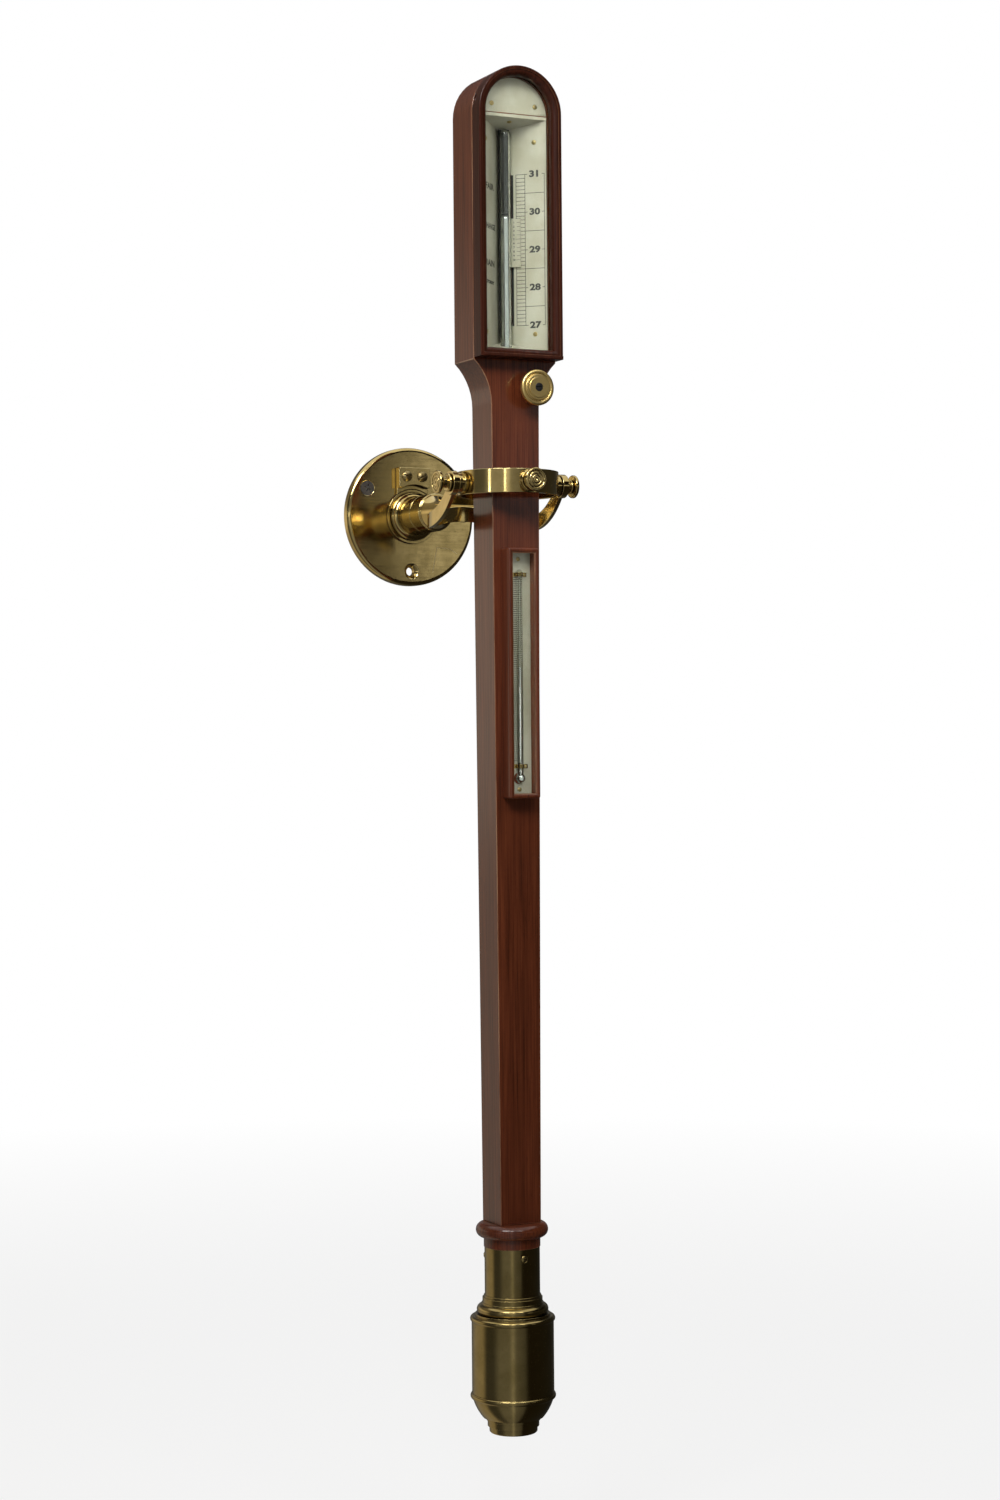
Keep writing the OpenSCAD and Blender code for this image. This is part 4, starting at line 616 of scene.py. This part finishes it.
def makeScaleNumerals(plates):
    bm = bmesh.new()
    for step in range(plates["inches"] + 1):
        place = onPlate(plates, plates["numeralAt"], plates["lowMark"] + step * plates["inch"])
        addText(bm, str(plates["lowInch"] + step), plates["numeralHeight"], place,
                plates["numeralStretch"], plates["numeralWeight"])
    markPiece("scaleNumerals", bm, "case", mottled["blackWax"])


# Common weather words on the left plate: place in inches, height in mm and stretch of each
weatherWords = {
    "words": (("FAIR", 30.6, 4.0, 1.2), ("CHANGE", 29.55, 3.6, 0.85),
              ("RAIN", 28.58, 4.0, 1.15), ("STORMY", 28.08, 2.0, 1.2)),
    "along": 18.0,
    "weight": 0.24,
}


def makeWeatherWords(plates, left):
    bm = bmesh.new()
    for word, inches, height, stretch in left["words"]:
        up = plates["lowMark"] + (inches - plates["lowInch"]) * plates["inch"]
        place = onPlate(plates, left["along"], up, left=True)
        addText(bm, word, height, place, stretch, left["weight"])
    markPiece("weatherWords", bm, "case", mottled["blackWax"])


# Vernier: ten divisions over eleven tenths of an inch, numbered downwards
vernierMarks = {
    "near": 5.8, "width": 8.75, "lift": 1.35, "reading": 29.841,
    "divisions": 10, "pitch": 0.11,  # inches
    "longLine": 3.4, "shortLine": 2.6, "line": 0.24, "topDrop": 0.12,
    "height": 1.3, "figureAt": 4.6, "weight": 0.08,
}


def makeVernierMarks(plates, vernier):
    bm = bmesh.new()
    top = plates["lowMark"] + (vernier["reading"] - plates["lowInch"]) * plates["inch"]
    edge = vernier["near"] + vernier["width"]
    for index in range(vernier["divisions"] + 1):
        up = top - vernier["pitch"] * plates["inch"] * index - (vernier["topDrop"] if index == 0 else 0)
        length = vernier["longLine" if index % 5 == 0 else "shortLine"]
        place = onPlate(plates, edge - length / 2, up, vernier["lift"])
        addBar(bm, place, length, vernier["line"], plates["relief"])
        if index:
            place = onPlate(plates, edge - vernier["figureAt"], up, vernier["lift"])
            addText(bm, str(index), vernier["height"], place, 1.0, vernier["weight"])
    markPiece("vernierMarks", bm, "vernier", mottled["blackWax"])


# Black strip bent round the back of the glass tube, painted shade that stands in for the dark gap behind it;
# half of its arc in degrees
tubeStrip = {"inner": 4.03, "thick": 0.12, "halfArc": 76.0, "foot": 1.2, "steps": 24}


def makeTubeStrip(strip):
    tubeLow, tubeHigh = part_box("barometer_tube")
    middle = (tubeLow + tubeHigh) / 2
    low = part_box("floor_plate")[1].z + strip["foot"] * mm
    turn = math.radians(strip["halfArc"])
    out = Vector((math.sin(turn), math.cos(turn), 0))
    bm = bmesh.new()
    corners = []
    for radius, z in ((0, low), (1, low), (1, tubeHigh.z), (0, tubeHigh.z)):
        at = middle + out * (strip["inner"] + radius * strip["thick"]) * mm
        corners.append(bm.verts.new((at.x, at.y, z)))
    bm.faces.new(corners)
    bmesh.ops.spin(bm, geom=bm.verts[:] + bm.edges[:] + bm.faces[:], cent=middle, axis=(0, 0, 1),
                   dvec=(0, 0, 0), angle=2 * turn, steps=strip["steps"], use_duplicate=False)
    bmesh.ops.holes_fill(bm, edges=[edge for edge in bm.edges if edge.is_boundary])
    bmesh.ops.recalc_face_normals(bm, faces=bm.faces)
    markPiece("tubeStrip", bm, "case", mottled["lampblackPaint"])


# Painted shade: a black border along the slot that widens its dark gap, between these inches
slotBorder = {"near": 7.9, "far": 9.4, "low": 27.0, "high": 31.0}


def makeSlotBorder(plates, border):
    bm = bmesh.new()
    low, high = [plates["lowMark"] + (inches - plates["lowInch"]) * plates["inch"]
                 for inches in (border["low"], border["high"])]
    place = onPlate(plates, (border["near"] + border["far"]) / 2, (low + high) / 2)
    addBar(bm, place, border["far"] - border["near"], high - low, plates["relief"])
    markPiece("slotBorder", bm, "case", mottled["lampblackPaint"])


# Painted shade in the tube's empty end: a dark film standing in for the shaded gap seen through it, clear of
# the mercury and of the tube's top
emptyBore = {"share": 0.92, "clear": 1.0, "end": 3.0, "steps": 32, "rings": 6, "merge": 0.001}


def makeEmptyBore(bore):
    low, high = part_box("mercury_column")
    middle = (low + high) / 2
    radius = (high.x - low.x) / 2 * bore["share"]  # a share of the mercury's
    foot = high.z + bore["clear"] * mm
    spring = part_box("barometer_tube")[1].z - bore["end"] * mm - radius  # where the domed end starts
    bm = bmesh.new()
    points = [(0, foot), (radius, foot)]
    for ring in range(bore["rings"] + 1):
        rise = math.pi / 2 * ring / bore["rings"]
        points.append((radius * math.cos(rise), spring + radius * math.sin(rise)))
    outline = [bm.verts.new((middle.x + out, middle.y, z)) for out, z in points]
    for first, second in zip(outline, outline[1:]):
        bm.edges.new((first, second))
    bmesh.ops.spin(bm, geom=bm.verts[:] + bm.edges[:], cent=middle, axis=(0, 0, 1), dvec=(0, 0, 0),
                   angle=2 * math.pi, steps=bore["steps"], use_merge=True, use_duplicate=False)
    bmesh.ops.remove_doubles(bm, verts=bm.verts, dist=bore["merge"] * mm)
    bmesh.ops.recalc_face_normals(bm, faces=bm.faces)
    markPiece("emptyBore", bm, "case", mottled["lampblackPaint"])


makeSlotBorder(register, slotBorder)
makeEmptyBore(emptyBore)
makeScaleLines(register)
makeScaleNumerals(register)
makeWeatherWords(register, weatherWords)
makeVernierMarks(register, vernierMarks)
makeTubeStrip(tubeStrip)
print("register marked")


# Graduations on the thermometer plate, which leans with the trunk's front
thermometer = {
    "taper": 0.104,  # degrees
    "lowest": -58.0,  # mm from the plate's middle
    "step": 1.42,
    "lines": 88,
    "fine": (-4.2, 3.0),
    "long": (-5.0, 3.0),
    "line": 0.42,
    "lowFigure": 20,
    "figureAt": -6.5,
    "figure": 1.5,
    "weight": 0.08,
    "relief": 0.04,
}


def makeThermometerMarks(scale):
    low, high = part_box("thermometer_plate")
    lean = math.radians(scale["taper"])
    front = low.y + math.sin(lean) * (high.z - low.z) / 2
    place = Matrix.Translation((0, front, (low.z + high.z) / 2)) @ Matrix.Rotation(lean, 4, "X") @ faceFront
    bm = bmesh.new()
    for index in range(scale["lines"]):
        near, far = scale["long"] if index % 5 == 0 else scale["fine"]
        up = scale["lowest"] + index * scale["step"]
        at = Matrix.Translation(Vector(((near + far) / 2, up, 0)) * mm)
        addBar(bm, place @ at, far - near, scale["line"], scale["relief"])
        if index % 10 == 0:
            at = Matrix.Translation(Vector((scale["figureAt"], up, 0)) * mm)
            figure = str(scale["lowFigure"] + index)
            addText(bm, figure, scale["figure"], place @ at, 1.0, scale["weight"])
    markPiece("thermometerMarks", bm, "case", mottled["blackWax"])


makeThermometerMarks(thermometer)
print("thermometer marked")


# Cross-head steel screw that is left in one wall hole
wallScrew = {
    "pitchRadius": 39.5, "angle": 150.0, "turn": 20.0,
    "head": 5.2, "sunk": 0.15, "neck": 2.4,  # radii and depth in mm
    "cells": 9, "crossWidth": 1.05, "crossReach": 0.62,  # width in cells, reach as a share of the head
    "recess": 1.4, "floorShare": 0.75,
}


def makeWallScrew(screw):
    cells = screw["cells"]
    radius = screw["head"] * mm
    wide, reach = radius / cells * screw["crossWidth"], radius * screw["crossReach"]
    bm = bmesh.new()
    bmesh.ops.create_grid(bm, x_segments=cells, y_segments=cells, size=radius)
    for vert in bm.verts:
        if vert.co.length > 0:
            vert.co *= max(abs(vert.co.x), abs(vert.co.y)) / vert.co.length
    rim = [edge for edge in bm.edges if edge.is_boundary]
    cross = []
    for face in bm.faces:
        centre = face.calc_center_median()
        if min(abs(centre.x), abs(centre.y)) < wide and centre.length < reach:
            cross.append(face)
    sunk = bmesh.ops.extrude_face_region(bm, geom=cross)["geom"]
    bmesh.ops.delete(bm, geom=cross, context="FACES")
    floor = [item for item in sunk if isinstance(item, bmesh.types.BMVert)]
    bmesh.ops.translate(bm, verts=floor, vec=(0, 0, -screw["recess"] * mm))
    bmesh.ops.scale(bm, verts=floor, vec=(screw["floorShare"], screw["floorShare"], 1))
    skirt = bmesh.ops.extrude_edge_only(bm, edges=rim)["geom"]
    lower = [item for item in skirt if isinstance(item, bmesh.types.BMVert)]
    shrink = screw["neck"] / screw["head"]
    bmesh.ops.scale(bm, verts=lower, vec=(shrink, shrink, 1))
    bmesh.ops.translate(bm, verts=lower, vec=(0, 0, (screw["neck"] - screw["head"]) * mm))
    bmesh.ops.holes_fill(bm, edges=[edge for edge in bm.edges if edge.is_boundary])
    bmesh.ops.recalc_face_normals(bm, faces=bm.faces)
    angle = math.radians(screw["angle"])
    place = Vector((math.cos(angle), 0, math.sin(angle))) * screw["pitchRadius"] * mm
    place.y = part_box("wall_plate")[0].y + screw["sunk"] * mm
    turned = Matrix.Rotation(math.radians(screw["turn"]), 4, "Y")
    bmesh.ops.transform(bm, matrix=Matrix.Translation(place) @ turned @ faceFront, verts=bm.verts)
    piece = meshPiece("wallScrew", bm, mottled["zincPlatedSteel"])
    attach(piece, "wall")


makeWallScrew(wallScrew)
print("wall screw made")


# Old scratch on the wall plate: thin pale lines between points across and up from its middle
plateScratch = {
    "points": ((16.7, -40.0), (20.3, -22.0), (30.5, -22.7), (36.3, -26.0)),
    "width": 0.3,
    "relief": 0.03,
}


def makePlateScratch(scratch):
    mesh = frame["nodes"]["wall_plate"].data
    corners = [vert.co for vert in mesh.vertices]
    plate = BVHTree.FromPolygons(corners, [face.vertices for face in mesh.polygons])
    bm = bmesh.new()
    points = [Vector((across, 0, up)) * mm for across, up in scratch["points"]]
    for start, end in zip(points, points[1:]):
        middle, run = (start + end) / 2, end - start
        inward = Vector((0, 1, 0))
        surface = plate.ray_cast(middle - inward, inward)[0]
        lean = Matrix.Rotation(-math.atan2(run.z, run.x), 4, "Y")
        place = Matrix.Translation(surface) @ lean @ faceFront
        addBar(bm, place, run.length / mm, scratch["width"], scratch["relief"])
    piece = meshPiece("plateScratch", bm, mottled["scratchedBrass"])
    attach(piece, "wall")


makePlateScratch(plateScratch)
print("wall plate scratched")


# Flush screws in the hinge leaves, seen when the door stands open
hingeScrews = {
    "radius": 0.95, "topShare": 0.9, "proud": 0.07, "sides": 20,
    "fromEdge": 1.8, "spread": (-7.5, 0.0, 7.5),
    "slot": 0.3, "slotShare": 1.8, "slotRelief": 0.02,
    "halfLeaf": 11.0, "halfGap": 0.15,  # half the height of a leaf, half the gap between two
}


def makeHingeScrews(screws):
    for nodeName, body, facing in (("hinge_leaves", "case", -1), ("door_leaves", "door", 1)):
        low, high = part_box(nodeName)
        x = low.x + screws["fromEdge"] * mm
        y = (low.y + high.y) / 2 - screws["halfGap"] * mm * facing
        heads, slots = bmesh.new(), bmesh.new()
        leaf = screws["halfLeaf"] * mm
        for middle in (low.z + leaf, high.z - leaf):
            for offset in screws["spread"]:
                place = Matrix.Translation((x, y, middle + offset * mm))
                turned = place @ (faceFront if facing < 0 else Matrix.Rotation(math.pi, 4, "Z") @ faceFront)
                bmesh.ops.create_cone(heads, cap_ends=True, segments=screws["sides"],
                                      radius1=screws["radius"] * mm,
                                      radius2=screws["radius"] * screws["topShare"] * mm,
                                      depth=screws["proud"] * 2 * mm, matrix=turned)
                # each slot stands at its own angle
                # each slot is a flat black bar, painted shade standing in for the cut groove
                lift = Matrix.Translation((0, 0, screws["proud"] * mm)) @ Matrix.Rotation(offset, 4, "Z")
                addBar(slots, turned @ lift, screws["radius"] * screws["slotShare"], screws["slot"],
                       screws["slotRelief"])
        piece = meshPiece(pieceName("screwsIn", nodeName), heads, finishes["pale_screws"])
        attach(piece, body)
        markPiece(pieceName("slotsIn", nodeName), slots, body, mottled["blackWax"])


makeHingeScrews(hingeScrews)
print("hinge screws made")


# Studio in metres and degrees: pale floor, white surround, soft lamps, a grey screen that the metal mirrors
studio = {
    "floorHeight": -0.72,
    "floorSize": 30.0,
    "floorColour": "#f2f1ee",
    "floorFade": (0.7, 2.2, 0.8),  # from and to metres out, and the share of white at the first
    "ambient": 0.1,
    "lampAim": 0.24,
    "noGlare": ("sideSoftbox", "backSoftbox"),  # lamps that no metal mirrors
    "lampSpread": 54.0,  # honeycombs on the softboxes keep the light to the upper part
    "lamps": (
        # name, azimuth in degrees, height, distance, size, watts
        ("keySoftbox", -50.0, 1.25, 1.5, (0.7, 0.8), 2.35),
        ("frontSoftbox", -24.0, 1.2, 1.7, (0.35, 0.5), 0.95),
        ("fillSoftbox", 6.0, 1.2, 1.6, (0.5, 0.6), 0.7),
        ("sideSoftbox", 92.0, 1.2, 1.9, (0.6, 0.8), 3.2),
        ("backSoftbox", 165.0, 1.2, 2.2, (0.8, 1.0), 4.6),
    ),
    "screenRadius": 3.4,
    "screenInner": 0.004,
    "screenFoot": -0.7,
    "screenTop": 3.0,
    "screenSteps": 96,
    # grey of the screen by azimuth, from behind round the left, the front and the right
    "screenTones": (
        (-180.0, "#8a8a8a"), (180.0, "#8a8a8a"), (-154.0, "#eee2cc"), (-118.0, "#eee2cc"),
        (-104.0, "#646464"), (-80.0, "#6a6a6a"), (-62.0, "#b0b0b0"), (-34.0, "#b0b0b0"),
        (-26.0, "#fafafa"), (-18.0, "#a0a0a0"),
        (8.0, "#808080"), (16.0, "#322c22"), (44.0, "#3a352c"), (110.0, "#3c3c3c"), (150.0, "#686868"),
    ),
    # share of it by height, so that what looks down mirrors a darker ground
    "screenShares": (
        (0.0, "#c6c6c6"), (1.0, "#a8a8a8"), (0.07, "#c6c6c6"), (0.12, "#ffffff"), (0.26, "#ffffff"),
        (0.42, "#8e8e8e"),
    ),
    # azimuth, height, reach, width, height and strength of the cards that the wall plate and the ring mirror
    "cards": ((32.4, 0.28, 3.3, 0.87, 0.42, 0.64), (-66.0, 0.22, 2.5, 0.16, 0.2, 6.0),
              (-31.0, 0.22, 2.5, 0.12, 0.2, 6.0)),
}


# White for what the eye sees straight, in metal and through glass
def seenDirectly(tree):
    path = addNode(tree, "LightPath").outputs
    seen = addNode(tree, "Math", {0: path["Is Camera Ray"], 1: path["Is Glossy Ray"]}, operation="MAXIMUM")
    both = addNode(tree, "Math", {0: seen.outputs[0], 1: path["Is Transmission Ray"]}, operation="MAXIMUM")
    return both.outputs[0]


def makeSurround(room):
    world = bpy.data.worlds.new("studioWorld")
    world.use_nodes = True
    tree = world.node_tree
    dim = tree.nodes["Background"]
    dim.inputs["Color"].default_value = (1, 1, 1, 1)
    dim.inputs["Strength"].default_value = room["ambient"]
    white = addNode(tree, "Background", {"Color": (1, 1, 1, 1), "Strength": 1.0})
    mixed = addNode(tree, "MixShader", {0: seenDirectly(tree), 1: dim.outputs[0], 2: white.outputs[0]})
    tree.links.new(mixed.outputs[0], tree.nodes["World Output"].inputs["Surface"])
    bpy.context.scene.world = world


def makeFloor(room):
    bm = bmesh.new()
    bmesh.ops.create_grid(bm, x_segments=1, y_segments=1, size=room["floorSize"] / 2)
    bmesh.ops.translate(bm, verts=bm.verts, vec=(0, 0, room["floorHeight"]))
    material, tree, shader = startMaterial(
        "paleFloor", {"Base Color": toLinear(room["floorColour"]), "Roughness": 0.9})
    glow = addNode(tree, "Emission", {"Color": (1, 1, 1, 1), "Strength": 1.0})
    reach = addNode(tree, "VectorMath", {0: addNode(tree, "TexCoord").outputs["Object"]}, operation="LENGTH")
    near, far, low = room["floorFade"]
    fade = addNode(tree, "MapRange", {
        "Value": reach.outputs["Value"], "From Min": near, "From Max": far, "To Min": low, "To Max": 1.0})
    share = addNode(tree, "Math", {0: seenDirectly(tree), 1: fade.outputs[0]}, operation="MULTIPLY")
    mixed = addNode(tree, "MixShader", {0: share.outputs[0], 1: shader.outputs[0], 2: glow.outputs[0]})
    tree.links.new(mixed.outputs[0], tree.nodes["Material Output"].inputs["Surface"])
    meshPiece("floor", bm, material)


def makeLamps(room):
    for name, azimuth, height, distance, size, watts in room["lamps"]:
        data = bpy.data.lights.new(name, "AREA")
        data.shape = "RECTANGLE"
        data.size, data.size_y = size
        data.energy = watts
        data.spread = math.radians(room["lampSpread"])
        lamp = bpy.data.objects.new(name, data)
        turn = math.radians(azimuth)
        lamp.location = trunkAxis + Vector((math.sin(turn) * distance, -math.cos(turn) * distance, height))
        aim = trunkAxis + Vector((0, 0, room["lampAim"])) - lamp.location
        lamp.rotation_euler = aim.to_track_quat("-Z", "Y").to_euler()
        lamp.visible_camera = False
        lamp.visible_glossy = name not in room["noGlare"]
        bpy.context.scene.collection.objects.link(lamp)


def hideFromCamera(stagePiece):
    stagePiece.visible_camera = False
    stagePiece.visible_diffuse = False
    stagePiece.visible_shadow = False
    stagePiece.visible_transmission = False


# The screen stands round the object and lies on the floor below it, seen in reflections alone
def makeScreen(room):
    bm = bmesh.new()
    foot, radius = room["screenFoot"], room["screenRadius"]
    points = ((room["screenInner"], foot), (radius, foot), (radius, room["screenTop"]))
    column = [bm.verts.new(trunkAxis + Vector((0, reach, z))) for reach, z in points]
    for lower, upper in zip(column, column[1:]):
        bm.edges.new((lower, upper))
    bmesh.ops.spin(bm, geom=bm.verts[:] + bm.edges[:], cent=trunkAxis, axis=(0, 0, 1), dvec=(0, 0, 0),
                   angle=2 * math.pi, steps=room["screenSteps"], use_merge=True, use_duplicate=False)
    bmesh.ops.recalc_face_normals(bm, faces=bm.faces)
    material, tree = startMaterial("greyScreenCloth", {})[:2]
    coords = addNode(tree, "TexCoord").outputs["Object"]
    turned = addNode(tree, "Mapping", {
        "Vector": coords, "Rotation": (0, 0, math.pi / 2), "Location": (trunkY, 0, 0)}).outputs[0]
    round360 = addNode(tree, "TexGradient", {"Vector": turned}, gradient_type="RADIAL").outputs["Fac"]
    tones = [(0.5 + azimuth / 360, grey) for azimuth, grey in room["screenTones"]]
    tone = addNode(tree, "ValToRGB", {"Fac": round360}, stops=tones).outputs["Color"]
    height = addNode(tree, "SeparateXYZ", {"Vector": coords}).outputs["Z"]
    upright = addNode(tree, "MapRange", {"Value": height, "From Min": foot, "From Max": room["screenTop"]})
    share = addNode(tree, "ValToRGB", {"Fac": upright.outputs[0]}, stops=room["screenShares"])
    grey = addNode(tree, "Mix", {
        0: 1.0, 6: tone, 7: share.outputs["Color"]}, data_type="RGBA", blend_type="MULTIPLY")
    glow = addNode(tree, "Emission", {"Color": grey.outputs[2], "Strength": 1.0})
    tree.links.new(glow.outputs[0], tree.nodes["Material Output"].inputs["Surface"])
    hideFromCamera(meshPiece("greyScreen", bm, material))


def makeCards(room):
    for index, (azimuth, height, reach, width, tall, strength) in enumerate(room["cards"]):
        material, tree = startMaterial("whiteCard", {})[:2]
        glow = addNode(tree, "Emission", {"Color": (1, 1, 1, 1), "Strength": strength})
        tree.links.new(glow.outputs[0], tree.nodes["Material Output"].inputs["Surface"])
        turn = math.radians(azimuth)
        place = trunkAxis + Vector((math.sin(turn) * reach, -math.cos(turn) * reach, height))
        stand = Matrix.Translation(place) @ Matrix.Rotation(turn, 4, "Z") @ faceFront
        bm = bmesh.new()
        bmesh.ops.create_grid(bm, x_segments=1, y_segments=1, size=0.5,
                              matrix=stand @ Matrix.Diagonal((width, tall, 1, 1)))
        hideFromCamera(meshPiece("whiteCard" + str(index), bm, material))


makeSurround(studio)
makeFloor(studio)
makeLamps(studio)
makeScreen(studio)
makeCards(studio)
bpy.context.scene.view_settings.view_transform = "Standard"
print("studio lit")
